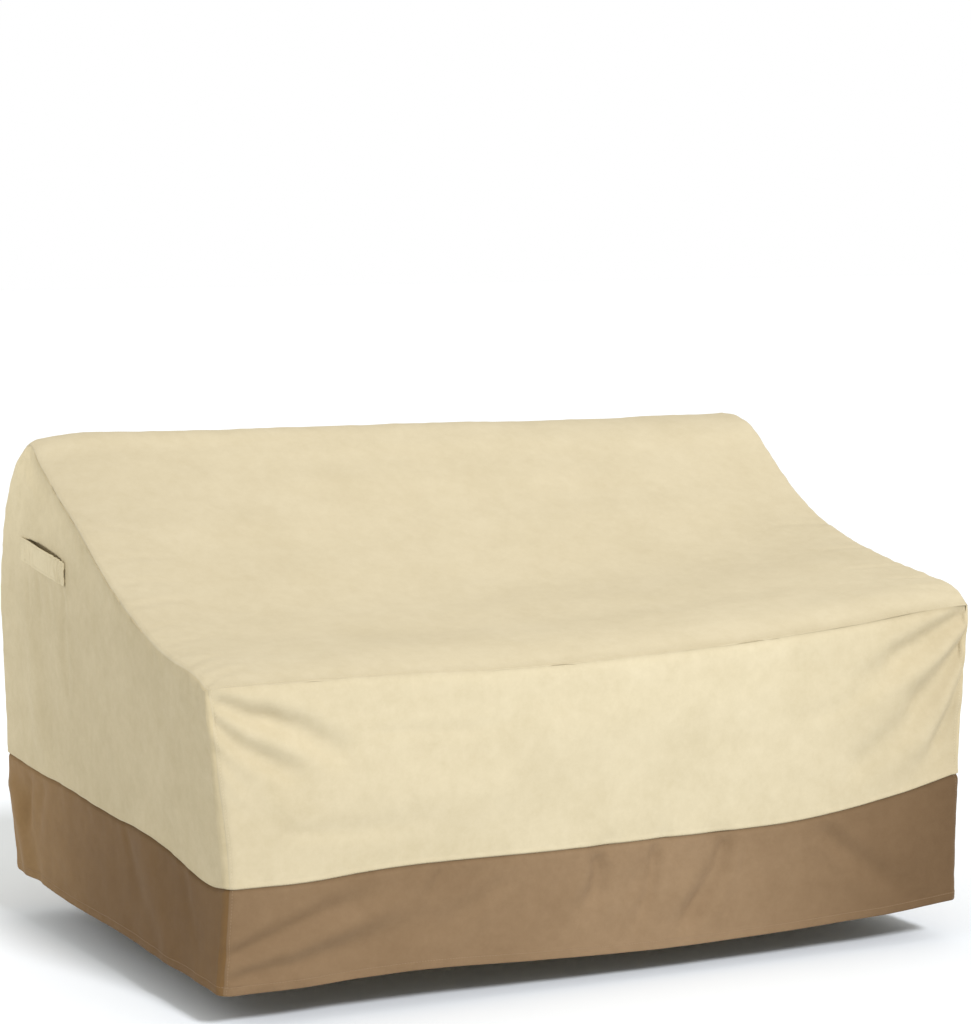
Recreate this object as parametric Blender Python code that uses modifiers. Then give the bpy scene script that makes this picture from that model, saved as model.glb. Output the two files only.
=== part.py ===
"""Fitted outdoor cover for a two-seat sofa, hanging as it does over the sofa.

Nine cloth panels and two carry handles.  The panels meet in seams: a top panel
runs from the seat's front edge over the backrest, with a front, a back and two
side panels below it, and a darker band of four lengths goes round the bottom.
The skin is laid out once, over its whole outline, then given the thickness of
the cloth and parted along its seams, so that neighbours meet in a mitre.

Metres, +Z up, front towards -Y.  Tables give a place as its distance right of
the middle (x), behind the middle (y) and above the level of the hem (z).  The
finished panels are moved so that the underside of the ridge, where the sofa
holds the cover up, is the origin.
"""
import bmesh
import bpy
from collections import namedtuple
from math import cos, exp, pi, radians, sin
from mathutils import Vector
from mathutils.bvhtree import BVHTree

# Rows of the tables below
CornerRow = namedtuple("CornerRow", "z x y")
BandRow = namedtuple("BandRow", "share hem seam")
TopRow = namedtuple("TopRow", "y left right slack wave round_left round_right")
SlackRow = namedtuple("SlackRow", "share part")
WaveRow = namedtuple("WaveRow", "share rise")
WallRow = namedtuple("WallRow", "share rounding")
Fold = namedtuple("Fold", "facing start end half_width height")


def table(row_kind, *rows):
    """Table with the columns of one kind of row."""
    return tuple(row_kind(*row) for row in rows)


# Cloth and seams
CLOTH = 0.002
SEAM_GAP = 0.0003
SEAM_ANGLE = radians(45)
SEAM_TURNS = (1.0, 0.5, 0.0)

# Where the sofa's backrest holds the cover: under the middle of the ridge
RIDGE_Y = 0.310
RIDGE_UNDERSIDE = 0.7859

# Corner edges of the cover, sharp, before they are rounded
CORNERS = {
    "front_left": table(
        CornerRow,
        (0.00, -0.677, -0.472), (0.16, -0.667, -0.474), (0.30, -0.681, -0.476), (0.47, -0.698, -0.475),
    ),
    "front_right": table(
        CornerRow,
        (0.00, 0.690, -0.472), (0.20, 0.692, -0.474), (0.30, 0.697, -0.476), (0.51, 0.707, -0.475),
    ),
    "back_left": table(
        CornerRow,
        (0.00, -0.695, 0.455), (0.20, -0.7035, 0.470), (0.50, -0.711, 0.479),
    ),
    "back_right": table(
        CornerRow,
        (0.00, 0.695, 0.455), (0.20, 0.7035, 0.470), (0.50, 0.711, 0.479),
    ),
}

# Heights of the hem and of the band's seam along each wall, from left to right or from front to back
FRONT_BAND = table(
    BandRow,
    (0.00, -0.011, 0.153), (0.09, -0.011, 0.153), (0.17, -0.007, 0.160), (0.25, -0.006, 0.163),
    (0.40, -0.014, 0.161), (0.57, -0.020, 0.163), (0.74, -0.017, 0.166), (0.83, -0.013, 0.177),
    (0.92, -0.008, 0.193), (1.00, 0.001, 0.218),
)
BACK_BAND = table(
    BandRow,
    (0.00, 0.017, 0.221), (0.20, 0.003, 0.211), (0.50, -0.006, 0.203), (0.80, -0.001, 0.207),
    (1.00, 0.006, 0.213),
)
SIDE_BANDS = {
    "left": table(
        BandRow,
        (0.00, -0.011, 0.153), (0.04, -0.009, 0.149), (0.08, -0.008, 0.151), (0.13, -0.006, 0.158),
        (0.22, -0.005, 0.174), (0.33, -0.001, 0.187), (0.45, 0.003, 0.189), (0.57, 0.004, 0.195),
        (0.70, 0.005, 0.204), (0.83, 0.011, 0.209), (0.94, 0.015, 0.217), (1.00, 0.017, 0.221),
    ),
    "right": table(
        BandRow,
        (0.00, 0.001, 0.218), (0.15, -0.004, 0.211), (0.40, -0.008, 0.205), (0.70, -0.003, 0.206),
        (1.00, 0.006, 0.213),
    ),
}

# Top panel, from the seat's front seam to the seam behind the ridge: height at the left and right sides,
# slack in the middle, part of the ridge's wave that shows, and rounding of the left and right edges
TOP_ROWS = table(
    TopRow,
    (-0.473, 0.466, 0.512, 0.024, 0.0, 0.010, 0.014),
    (-0.462, 0.470, 0.520, 0.024, 0.0, 0.010, 0.014),
    (-0.442, 0.479, 0.532, 0.024, 0.0, 0.010, 0.012),
    (-0.410, 0.488, 0.543, 0.024, 0.0, 0.010, 0.010),
    (-0.350, 0.496, 0.550, 0.024, 0.0, 0.010, 0.010),
    (-0.280, 0.508, 0.558, 0.023, 0.0, 0.010, 0.010),
    (-0.210, 0.530, 0.569, 0.021, 0.0, 0.010, 0.010),
    (-0.140, 0.556, 0.581, 0.019, 0.0, 0.010, 0.010),
    (-0.070, 0.587, 0.597, 0.017, 0.0, 0.010, 0.010),
    (0.000, 0.624, 0.618, 0.014, 0.0, 0.010, 0.010),
    (0.060, 0.659, 0.646, 0.011, 0.0, 0.010, 0.010),
    (0.110, 0.683, 0.675, 0.008, 0.1, 0.011, 0.010),
    (0.155, 0.705, 0.707, 0.006, 0.3, 0.013, 0.010),
    (0.195, 0.725, 0.736, 0.004, 0.5, 0.016, 0.011),
    (0.230, 0.742, 0.763, 0.002, 0.7, 0.019, 0.012),
    (0.265, 0.759, 0.780, 0.000, 0.9, 0.024, 0.014),
    (0.300, 0.783, 0.787, 0.000, 1.0, 0.030, 0.018),
    (0.330, 0.788, 0.787, 0.000, 0.9, 0.032, 0.022),
)
# Upper part of the back panel, which curves down from the ridge
SLOPE_ROWS = table(
    TopRow,
    (0.362, 0.771, 0.775, 0.000, 0.7, 0.031, 0.026),
    (0.392, 0.742, 0.746, 0.001, 0.5, 0.030, 0.030),
    (0.420, 0.706, 0.709, 0.001, 0.3, 0.030, 0.030),
    (0.446, 0.660, 0.663, 0.001, 0.0, 0.030, 0.030),
    (0.464, 0.612, 0.615, 0.000, 0.0, 0.030, 0.030),
    (0.475, 0.568, 0.570, 0.000, 0.0, 0.030, 0.030),
)
BACK_TOP = 0.520
# Part of the slack that shows at a share of the width
SLACK = table(
    SlackRow,
    (0.00, 0.00), (0.08, 0.08), (0.16, 0.24), (0.24, 0.46), (0.33, 0.77), (0.50, 1.00),
    (0.67, 0.90), (0.84, 0.54), (0.93, 0.14), (1.00, 0.00),
)
# Wave of the ridge: rise above the straight line between its ends, at a share of the width
RIDGE_WAVE = table(
    WaveRow,
    (0.00, 0.0000), (0.05, 0.0080), (0.10, 0.0080), (0.20, 0.0045), (0.31, 0.0040), (0.42, 0.0025),
    (0.53, 0.0020), (0.64, 0.0000), (0.76, -0.0035), (0.82, -0.0035), (0.88, -0.0010), (0.95, -0.0010),
    (1.00, 0.0000),
)
# Rows of the band and of the panels above it, as shares of their height, with the rounding of the corners
BAND_ROWS = table(WallRow, (0.0, 0.018), (0.5, 0.018))
WALL_ROWS = table(
    WallRow,
    (0.00, 0.018), (0.18, 0.020), (0.36, 0.020), (0.53, 0.018), (0.68, 0.015), (0.80, 0.013), (0.91, 0.011),
)
BACK_ROUND = 0.030
# Columns of the cloth between the rounded sides, as shares of the width; closer where the folds are
COLUMNS = (
    0.0, 0.02, 0.04, 0.065, 0.09, 0.12, 0.155, 0.20, 0.25, 0.31, 0.38, 0.45, 0.52, 0.59, 0.65, 0.71, 0.76,
    0.80, 0.835, 0.865, 0.895, 0.92, 0.945, 0.965, 0.985, 1.0,
)

# Folds: the way their wall faces, their ends on the wall (x or y, z), half width, height (a trough's is < 0)
FRONT = Vector((0, -1, 0))
LEFT = Vector((-1, 0, 0))
RIGHT = Vector((1, 0, 0))
BACK = Vector((0, 1, 0))
FOLDS = table(
    Fold,
    (FRONT, (-0.690, 0.449), (-0.590, 0.434), 0.013, -0.0050),
    (FRONT, (-0.600, 0.434), (-0.470, 0.366), 0.017, -0.0060),
    (FRONT, (-0.690, 0.428), (-0.565, 0.338), 0.014, -0.0060),
    (FRONT, (-0.672, 0.434), (-0.530, 0.361), 0.014, 0.0030),
    (FRONT, (-0.660, 0.330), (-0.560, 0.270), 0.022, 0.0030),
    (FRONT, (0.695, 0.500), (0.550, 0.440), 0.016, -0.0050),
    (FRONT, (0.695, 0.475), (0.590, 0.388), 0.016, -0.0060),
    (FRONT, (0.600, 0.400), (0.480, 0.270), 0.024, -0.0060),
    (FRONT, (0.680, 0.480), (0.560, 0.400), 0.014, 0.0030),
    (FRONT, (0.690, 0.440), (0.632, 0.344), 0.014, -0.0050),
    (FRONT, (0.670, 0.430), (0.560, 0.290), 0.020, 0.0040),
    (FRONT, (0.695, 0.380), (0.645, 0.270), 0.013, -0.0045),
    (FRONT, (-0.480, 0.290), (-0.200, 0.275), 0.050, 0.0040),
    (FRONT, (-0.100, 0.350), (0.300, 0.400), 0.060, 0.0040),
    (FRONT, (0.101, 0.155), (0.055, 0.091), 0.020, -0.0050),
    (FRONT, (0.208, 0.149), (0.160, 0.030), 0.022, -0.0060),
    (FRONT, (-0.005, 0.158), (-0.014, 0.090), 0.020, -0.0040),
    (FRONT, (-0.400, 0.104), (-0.560, 0.045), 0.024, 0.0050),
    (FRONT, (-0.330, 0.075), (-0.480, 0.020), 0.024, -0.0040),
    (LEFT, (0.430, 0.165), (0.380, 0.030), 0.020, 0.0060),
    (LEFT, (0.380, 0.160), (0.330, 0.020), 0.024, -0.0040),
    (LEFT, (-0.150, 0.160), (-0.260, 0.030), 0.040, 0.0040),
    (LEFT, (0.145, 0.500), (0.135, 0.380), 0.016, -0.0030),
    (LEFT, (0.300, 0.440), (0.290, 0.280), 0.030, 0.0040),
    (RIGHT, (0.420, 0.170), (0.370, 0.020), 0.022, 0.0050),
    (RIGHT, (-0.100, 0.170), (-0.180, 0.030), 0.035, -0.0040),
    (RIGHT, (0.145, 0.500), (0.135, 0.380), 0.016, -0.0030),
    (BACK, (-0.300, 0.420), (-0.380, 0.120), 0.040, 0.0050),
    (BACK, (0.150, 0.400), (0.220, 0.060), 0.045, -0.0040),
)

# Carry handles on the side panels: a strip sewn down at both ends
HANDLE_FRONT = 0.112
HANDLE_BACK = 0.340
HANDLE_LOW = 0.556
HANDLE_RISE = 0.021
HANDLE_WIDTH = 0.042
HANDLE_SEWN = 0.028
HANDLE_BOW = 0.012
HANDLE_SEAT = 0.0004
HANDLE_SPANS = 16
HANDLE_ROWS = 3

SHELL = (0.80, 0.73, 0.55)
SHELL_SHADE = (0.76, 0.69, 0.51)
TAUPE = (0.34, 0.24, 0.16)
TAUPE_SHADE = (0.30, 0.21, 0.14)
PANEL_COLOURS = {
    "top_panel": SHELL,
    "front_panel": SHELL,
    "back_panel": SHELL,
    "side_panel_left": SHELL_SHADE,
    "side_panel_right": SHELL_SHADE,
    "band_front": TAUPE,
    "band_back": TAUPE,
    "band_left": TAUPE_SHADE,
    "band_right": TAUPE_SHADE,
}
PANELS = tuple(PANEL_COLOURS)
FABRIC_ROUGHNESS = 0.85
SMOOTH_ANGLE = radians(40)


def lerp(a, b, share):
    """Straight mix of two numbers or vectors."""
    return a + (b - a) * share


def read(rows, place, column):
    """Value of a table's column at a place in its first column, on a smooth curve through the rows."""
    places = [row[0] for row in rows]
    values = [getattr(row, column) for row in rows]
    last = len(rows) - 1
    if place <= places[0]:
        return values[0]
    if place >= places[last]:
        return values[last]
    k = 0
    while place > places[k + 1]:
        k += 1

    def slope(i):
        low = max(i - 1, 0)
        high = min(i + 1, last)
        return (values[high] - values[low]) / (places[high] - places[low])

    step = places[k + 1] - places[k]
    t = (place - places[k]) / step
    start = values[k] * (1 + 2 * t) * (1 - t) ** 2 + slope(k) * step * t * (1 - t) ** 2
    end = values[k + 1] * t * t * (3 - 2 * t) - slope(k + 1) * step * t * t * (1 - t)
    return start + end


def corner(name, level):
    """Plan position of a corner edge at a level."""
    return Vector((read(CORNERS[name], level, "x"), read(CORNERS[name], level, "y")))


def wall_x(side, y, z):
    """x of the left or right wall at a place on it."""
    front = corner("front_" + side, z)
    back = corner("back_" + side, z)
    return lerp(front.x, back.x, (y - front.y) / (back.y - front.y))


def wall_y(end, share, z):
    """y of the front or back wall at a share of its width."""
    return lerp(corner(end + "_left", z).y, corner(end + "_right", z).y, share)


def top_height(row, share):
    """Height of a row of the top at a share of the width."""
    sag = row.slack * read(SLACK, share, "part")
    rise = row.wave * read(RIDGE_WAVE, share, "rise")
    return lerp(row.left, row.right, share) - sag + rise


def wall_heights(band, share, top):
    """Heights of the rows of the front or back wall, from its hem up to its top."""
    hem = read(band, share, "hem")
    seam = read(band, share, "seam")
    heights = [lerp(hem, seam, row.share) for row in BAND_ROWS]
    heights += [lerp(seam, top, row.share) for row in WALL_ROWS]
    return heights


def section(share):
    """Outline (y, z, rounding) at a share of the width, from the front hem over the top to the back hem."""
    rows = []
    for z, row in zip(wall_heights(FRONT_BAND, share, top_height(TOP_ROWS[0], share)), BAND_ROWS + WALL_ROWS):
        rows.append((wall_y("front", share, z), z, row.rounding))
    for row in TOP_ROWS + SLOPE_ROWS:
        rows.append((row.y, top_height(row, share), lerp(row.round_left, row.round_right, share)))
    for z in reversed(wall_heights(BACK_BAND, share, BACK_TOP) + [BACK_TOP]):
        rows.append((wall_y("back", share, z), z, BACK_ROUND))
    return rows


def outward(rows, k):
    """Unit normal (y, z) of an outline at one of its rows, pointing out of the cover."""
    before = rows[max(k - 1, 0)]
    after = rows[min(k + 1, len(rows) - 1)]
    normal = Vector((before[1] - after[1], after[0] - before[0]))
    return normal.normalized()


FRONT_ROWS = len(BAND_ROWS) + len(WALL_ROWS)
FRONT_SEAM = FRONT_ROWS
RIDGE_SEAM = FRONT_SEAM + len(TOP_ROWS) - 1
BACK_CORNER = RIDGE_SEAM + len(SLOPE_ROWS) + 1
LAST_ROW = BACK_CORNER + FRONT_ROWS
LOWER_FRONT = len(BAND_ROWS)
LOWER_BACK = LAST_ROW - len(BAND_ROWS)


def strip_panel(k):
    """Panel of the front-to-back strip between rows k and k + 1."""
    if k < LOWER_FRONT:
        return "band_front"
    if k < FRONT_SEAM:
        return "front_panel"
    if k < RIDGE_SEAM:
        return "top_panel"
    if k < LOWER_BACK:
        return "back_panel"
    return "band_back"


def edge_point(side, rows, k, turn, on_strip):
    """Point on the rounded edge between the strip and a side wall."""
    y, z, radius = rows[k]
    normal = outward(rows, k)
    angle = SEAM_ANGLE * turn
    across = radius * (1 - sin(angle)) if on_strip else radius * (1 - cos(angle))
    down = radius * (1 - cos(angle)) if on_strip else radius * (1 - sin(angle))
    x = wall_x(side, y, z)
    x += across if side == "left" else -across
    return Vector((x, y - normal.x * down, z - normal.y * down))


def strip_row(k, sections):
    """Points of row k of the strip, from the left seam to the right one."""
    left, right = sections[0], sections[-1]
    points = [edge_point("left", left, k, turn, True) for turn in SEAM_TURNS[:-1]]
    first = edge_point("left", left, k, 0, True)
    last = edge_point("right", right, k, 0, True)
    for share, rows in zip(COLUMNS, sections):
        y, z, _ = rows[k]
        points.append(Vector((lerp(first.x, last.x, share), y, z)))
    points += [edge_point("right", right, k, turn, True) for turn in reversed(SEAM_TURNS[:-1])]
    return points


def side_patch(side, rows):
    """Inner grid of a side wall: its columns follow the top's rows, and its rows the front's."""
    inner = [edge_point(side, rows, k, 0, False) for k in range(LAST_ROW + 1)]
    band = SIDE_BANDS[side]
    front_seam = inner[LOWER_FRONT]
    back_seam = inner[LOWER_BACK]
    top = inner[FRONT_SEAM:BACK_CORNER + 1]
    grid = []
    for point in top:
        u = (point.y - top[0].y) / (top[-1].y - top[0].y)
        hem_z = read(band, u, "hem")
        seam = lerp(front_seam, back_seam, u)
        seam_z = read(band, u, "seam")
        edge = lerp(top[0], top[-1], u)
        column = []
        for j in range(FRONT_ROWS + 1):
            across = lerp(inner[j], inner[LAST_ROW - j], u)
            if j < LOWER_FRONT:
                y = across.y
                z = lerp(hem_z, seam_z, BAND_ROWS[j].share)
            else:
                v = 1.0 if j == FRONT_ROWS else WALL_ROWS[j - LOWER_FRONT].share
                y = lerp(seam.y, point.y, v) + across.y - lerp(seam.y, edge.y, v)
                z = lerp(seam_z, point.z, v) + across.z - lerp(seam.z, edge.z, v)
            column.append(Vector((wall_x(side, y, z), y, z)))
        grid.append(column)
    return grid


def fold_push(place, normal):
    """How far the folds move a point of the cloth, as a vector."""
    push = Vector((0, 0, 0))
    for fold in FOLDS:
        facing = normal.dot(fold.facing)
        if facing <= 0:
            continue
        point = Vector((place.y if fold.facing.x else place.x, place.z))
        start = Vector(fold.start)
        run = Vector(fold.end) - start
        share = min(max((point - start).dot(run) / run.length_squared, 0), 1)
        off = (point - start - run * share).length / fold.half_width
        push += fold.facing * (fold.height * facing * exp(-off * off))
    return push


def place_on_patch(k):
    """Column and row of a side wall's grid at row k of the outline."""
    if k <= FRONT_SEAM:
        return 0, k
    if k < BACK_CORNER:
        return k - FRONT_SEAM, FRONT_ROWS
    return BACK_CORNER - FRONT_SEAM, LAST_ROW - k


def add_quad(skin, corners, panel, mirrored=False):
    """One face of the skin, marked with its panel."""
    face = skin.faces.new(reversed(corners) if mirrored else corners)
    face.material_index = PANELS.index(panel)


def add_strip(skin, sections):
    """Cloth from the front hem over the top to the back hem, with the rounding as far as its side seams."""
    lines = []
    for k in range(LAST_ROW + 1):
        lines.append([skin.verts.new(point) for point in strip_row(k, sections)])
    for k in range(LAST_ROW):
        for a, b, c, d in zip(lines[k], lines[k][1:], lines[k + 1][1:], lines[k + 1]):
            add_quad(skin, (a, b, c, d), strip_panel(k))
    return lines


def add_side(skin, side, rows, seam):
    """A side wall, with the rounding as far as its seam to the strip."""
    mirrored = side == "right"
    grid = [[skin.verts.new(point) for point in column] for column in side_patch(side, rows)]
    halfway = [skin.verts.new(edge_point(side, rows, k, SEAM_TURNS[1], False)) for k in range(LAST_ROW + 1)]
    rim = []
    for k in range(LAST_ROW + 1):
        column, row = place_on_patch(k)
        rim.append(grid[column][row])
    for outer, inner in ((seam, halfway), (halfway, rim)):
        for k in range(LAST_ROW):
            low = k < LOWER_FRONT or k >= LOWER_BACK
            panel = ("band_" if low else "side_panel_") + side
            add_quad(skin, (outer[k], outer[k + 1], inner[k + 1], inner[k]), panel, mirrored)
    for front, back in zip(grid, grid[1:]):
        for j in range(FRONT_ROWS):
            panel = ("band_" if j < LOWER_FRONT else "side_panel_") + side
            add_quad(skin, (front[j], front[j + 1], back[j + 1], back[j]), panel, mirrored)


def build_skin():
    """The whole outer skin as one open surface."""
    skin = bmesh.new()
    sections = [section(share) for share in COLUMNS]
    lines = add_strip(skin, sections)
    add_side(skin, "left", sections[0], [line[0] for line in lines])
    add_side(skin, "right", sections[-1], [line[-1] for line in lines])
    skin.normal_update()
    pushes = [fold_push(vert.co, vert.normal) for vert in skin.verts]
    for vert, push in zip(skin.verts, pushes):
        vert.co += push
    skin.normal_update()
    return skin


def seam_retreat(vert, index):
    """Small step that takes a panel's point back from the seams it lies on."""
    steps = []
    for edge in vert.link_edges:
        owners = {face.material_index for face in edge.link_faces}
        if index in owners and len(owners) > 1:
            face = next(f for f in edge.link_faces if f.material_index == index)
            line = (edge.verts[1].co - edge.verts[0].co).normalized()
            inward = face.calc_center_median() - edge.verts[0].co
            steps.append((inward - line * inward.dot(line)).normalized())
    if not steps:
        return Vector((0, 0, 0))
    mean = sum(steps, Vector((0, 0, 0))).normalized()
    reach = min(mean.dot(step) for step in steps)
    return mean * (SEAM_GAP / 2 / max(reach, 0.5))


def fabric(name, colour):
    """Plain woven fabric in one colour."""
    material = bpy.data.materials.new(name)
    material.use_nodes = True
    shader = material.node_tree.nodes["Principled BSDF"]
    shader.inputs["Base Color"].default_value = (*colour, 1.0)
    shader.inputs["Roughness"].default_value = FABRIC_ROUGHNESS
    shader.inputs["Metallic"].default_value = 0.0
    material.diffuse_color = (*colour, 1.0)
    return material


def add_object(name, mesh, colour, collection):
    """Named object with its own fabric, shaded smooth."""
    mesh.shade_smooth()
    mesh.set_sharp_from_angle(angle=SMOOTH_ANGLE)
    mesh.materials.clear()
    mesh.materials.append(fabric(name + "_fabric", colour))
    obj = bpy.data.objects.new(name, mesh)
    collection.objects.link(obj)
    return obj


def to_origin(point):
    """Moves a point from the tables' frame to the cover's own frame."""
    return Vector((point.x, point.y - RIDGE_Y, point.z - RIDGE_UNDERSIDE))


def part_panel(skin, name, collection):
    """One panel: its share of the skin, given the thickness of the cloth."""
    index = PANELS.index(name)
    shell = bmesh.new()
    outer = {}
    inner = {}
    faces = [face for face in skin.faces if face.material_index == index]
    for face in faces:
        for vert in face.verts:
            if vert in outer:
                continue
            place = vert.co + seam_retreat(vert, index)
            depth = vert.normal * (CLOTH * vert.calc_shell_factor())
            outer[vert] = shell.verts.new(to_origin(place))
            inner[vert] = shell.verts.new(to_origin(place - depth))
    for face in faces:
        shell.faces.new([outer[vert] for vert in face.verts])
        shell.faces.new([inner[vert] for vert in reversed(face.verts)])
        for loop in face.loops:
            neighbours = [f for f in loop.edge.link_faces if f is not face and f.material_index == index]
            if not neighbours:
                a = loop.vert
                b = loop.link_loop_next.vert
                shell.faces.new((outer[b], outer[a], inner[a], inner[b]))
    bmesh.ops.triangulate(shell, faces=shell.faces)
    mesh = bpy.data.meshes.new(name)
    shell.to_mesh(mesh)
    shell.free()
    return add_object(name, mesh, PANEL_COLOURS[name], collection)


def add_handle(side, skin_tree, collection):
    """Strip of the cover's cloth, sewn down at both ends and standing off the panel between them."""
    out = -1 if side == "left" else 1
    grid = bmesh.new()
    bmesh.ops.create_grid(grid, x_segments=HANDLE_SPANS, y_segments=HANDLE_ROWS, size=0.5)
    length = HANDLE_BACK - HANDLE_FRONT
    free = length - 2 * HANDLE_SEWN
    for vert in grid.verts:
        along = vert.co.x + 0.5
        up = vert.co.y + 0.5
        y = HANDLE_FRONT + length * along
        z = HANDLE_LOW + HANDLE_RISE * along + HANDLE_WIDTH * up
        from_seam = min(max((along * length - HANDLE_SEWN) / free, 0), 1)
        bow = HANDLE_BOW * sin(pi * from_seam) ** 2 * lerp(0.8, 1.0, up)
        hit = skin_tree.ray_cast(Vector((out, y, z)), Vector((-out, 0, 0)))[0]
        vert.co = to_origin(Vector((hit.x + out * (HANDLE_SEAT + bow), y, z)))
    grid.normal_update()
    if sum(face.normal.x for face in grid.faces) * out < 0:
        bmesh.ops.reverse_faces(grid, faces=grid.faces)
    name = "handle_" + side
    mesh = bpy.data.meshes.new(name)
    grid.to_mesh(mesh)
    grid.free()
    handle = add_object(name, mesh, SHELL_SHADE, collection)
    solidify = handle.modifiers.new("thickness", "SOLIDIFY")
    solidify.thickness = CLOTH
    solidify.offset = 1.0
    solidify.use_even_offset = True
    return handle


def main():
    for obj in list(bpy.data.objects):
        bpy.data.objects.remove(obj, do_unlink=True)
    collection = bpy.data.collections.new("sofa_cover")
    bpy.context.scene.collection.children.link(collection)
    skin = build_skin()
    for name in PANELS:
        part_panel(skin, name, collection)
    tree = BVHTree.FromBMesh(skin)
    for side in ("left", "right"):
        add_handle(side, tree, collection)
    skin.free()


main()
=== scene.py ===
"""Looks of the fitted outdoor sofa cover: fine cloth, folds, seams, stitches, fabric, light and camera.

The cloth follows the same tables as the part's source, at a finer step, and each
panel of cloth stands for its CAD node.  Tables give a place as its distance right
of the middle (x), behind the middle (y) and above the level of the hem (z), in
metres, and to_origin moves it to the part's own frame.  The rows of tables and of
folds are written in millimetres, and their shares in thousandths.
"""

from collections import namedtuple
from math import acos, cos, pi, radians, sin

import bpy
import numpy as np
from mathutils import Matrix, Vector, noise
from mathutils.bvhtree import BVHTree
from mathutils.kdtree import KDTree


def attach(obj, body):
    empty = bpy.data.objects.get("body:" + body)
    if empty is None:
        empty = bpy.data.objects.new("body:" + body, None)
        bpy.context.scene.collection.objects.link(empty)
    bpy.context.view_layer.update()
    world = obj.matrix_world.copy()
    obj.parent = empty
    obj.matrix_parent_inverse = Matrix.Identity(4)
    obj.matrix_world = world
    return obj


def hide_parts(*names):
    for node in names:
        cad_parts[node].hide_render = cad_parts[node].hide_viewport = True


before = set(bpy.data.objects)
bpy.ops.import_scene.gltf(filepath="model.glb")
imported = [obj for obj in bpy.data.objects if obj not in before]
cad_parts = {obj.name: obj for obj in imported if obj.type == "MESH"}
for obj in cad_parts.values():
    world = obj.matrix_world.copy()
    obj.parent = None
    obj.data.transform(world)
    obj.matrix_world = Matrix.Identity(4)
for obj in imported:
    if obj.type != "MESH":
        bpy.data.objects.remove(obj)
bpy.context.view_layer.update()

# ---- sizes of the part

RIDGE_Y = 0.310
RIDGE_UNDERSIDE = 0.7859
SEAM_ANGLE = radians(45)

CornerRow = namedtuple("CornerRow", "z x y")
BandRow = namedtuple("BandRow", "share hem seam")
TopRow = namedtuple("TopRow", "y left right slack wave round_left round_right")
SlackRow = namedtuple("SlackRow", "share part")
WaveRow = namedtuple("WaveRow", "share rise")
WallRow = namedtuple("WallRow", "share rounding")
Fold = namedtuple("Fold", "facing half_width height path")


def table(row_kind, *rows):
    """Table with the columns of one kind of row, from millimetres and from shares in thousandths."""
    return tuple(row_kind(*(value / 1000 for value in row)) for row in rows)


def on_one_wall(kind, facing, *rows):
    """Folds or creases on one wall, from rows of their sizes and their path on the wall, in the same units."""
    sizes = len(kind._fields) - 2
    made = []
    for row in rows:
        values = [value / 1000 for value in row]
        path = tuple(zip(values[sizes::2], values[sizes + 1::2]))
        made.append(kind(facing, *values[:sizes], path))
    return tuple(made)


CORNERS = {
    "front_left": table(
        CornerRow,
        (0, -677, -472), (160, -667, -474), (300, -681, -476), (470, -698, -475),
    ),
    "front_right": table(
        CornerRow,
        (0, 690, -472), (200, 692, -474), (300, 697, -476), (510, 707, -475),
    ),
    "back_left": table(
        CornerRow,
        (0, -695, 455), (200, -703.5, 470), (500, -711, 479),
    ),
    "back_right": table(
        CornerRow,
        (0, 695, 455), (200, 703.5, 470), (500, 711, 479),
    ),
}
FRONT_BAND = table(
    BandRow,
    (0, -11, 153), (90, -11, 153), (170, -7, 160), (250, -6, 163), (400, -14, 161), (570, -20, 163),
    (740, -17, 166), (830, -13, 177), (920, -8, 193), (1000, 1, 218),
)
BACK_BAND = table(
    BandRow,
    (0, 17, 221), (200, 3, 211), (500, -6, 203), (800, -1, 207), (1000, 6, 213),
)
SIDE_BANDS = {
    "left": table(
        BandRow,
        (0, -11, 153), (40, -9, 149), (80, -8, 151), (130, -6, 158), (220, -5, 174), (330, -1, 187), (450, 3, 189),
        (570, 4, 195), (700, 5, 204), (830, 11, 209), (940, 15, 217), (1000, 17, 221),
    ),
    "right": table(
        BandRow,
        (0, 1, 218), (150, -4, 211), (400, -8, 205), (700, -3, 206), (1000, 6, 213),
    ),
}
TOP_ROWS = table(
    TopRow,
    (-473, 466, 512, 24, 0, 10, 14), (-462, 470, 520, 24, 0, 10, 14), (-442, 479, 532, 24, 0, 10, 12),
    (-410, 488, 543, 24, 0, 10, 10), (-350, 496, 550, 24, 0, 10, 10), (-280, 508, 558, 23, 0, 10, 10),
    (-210, 530, 569, 21, 0, 10, 10), (-140, 556, 581, 19, 0, 10, 10), (-70, 587, 597, 17, 0, 10, 10),
    (0, 624, 618, 14, 0, 10, 10), (60, 659, 646, 11, 0, 10, 10), (110, 683, 675, 8, 100, 11, 10),
    (155, 705, 707, 6, 300, 13, 10), (195, 725, 736, 4, 500, 16, 11), (230, 742, 763, 2, 700, 19, 12),
    (265, 759, 780, 0, 900, 24, 14), (300, 783, 787, 0, 1000, 30, 18), (330, 788, 787, 0, 900, 32, 22),
)
SLOPE_ROWS = table(
    TopRow,
    (362, 771, 775, 0, 700, 31, 26), (392, 742, 746, 1, 500, 30, 30), (420, 706, 709, 1, 300, 30, 30),
    (446, 660, 663, 1, 0, 30, 30), (464, 612, 615, 0, 0, 30, 30), (475, 568, 570, 0, 0, 30, 30),
)
BACK_TOP = 0.520
SLACK = table(
    SlackRow,
    (0, 0), (80, 80), (160, 240), (240, 460), (330, 770), (500, 1000), (670, 900), (840, 540), (930, 140),
    (1000, 0),
)
RIDGE_WAVE = table(
    WaveRow,
    (0, 0), (50, 8), (100, 8), (200, 4.5), (310, 4), (420, 2.5), (530, 2), (640, 0), (760, -3.5), (820, -3.5),
    (880, -1), (950, -1), (1000, 0),
)
BAND_ROWS = table(
    WallRow,
    (0, 18), (500, 18),
)
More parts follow.
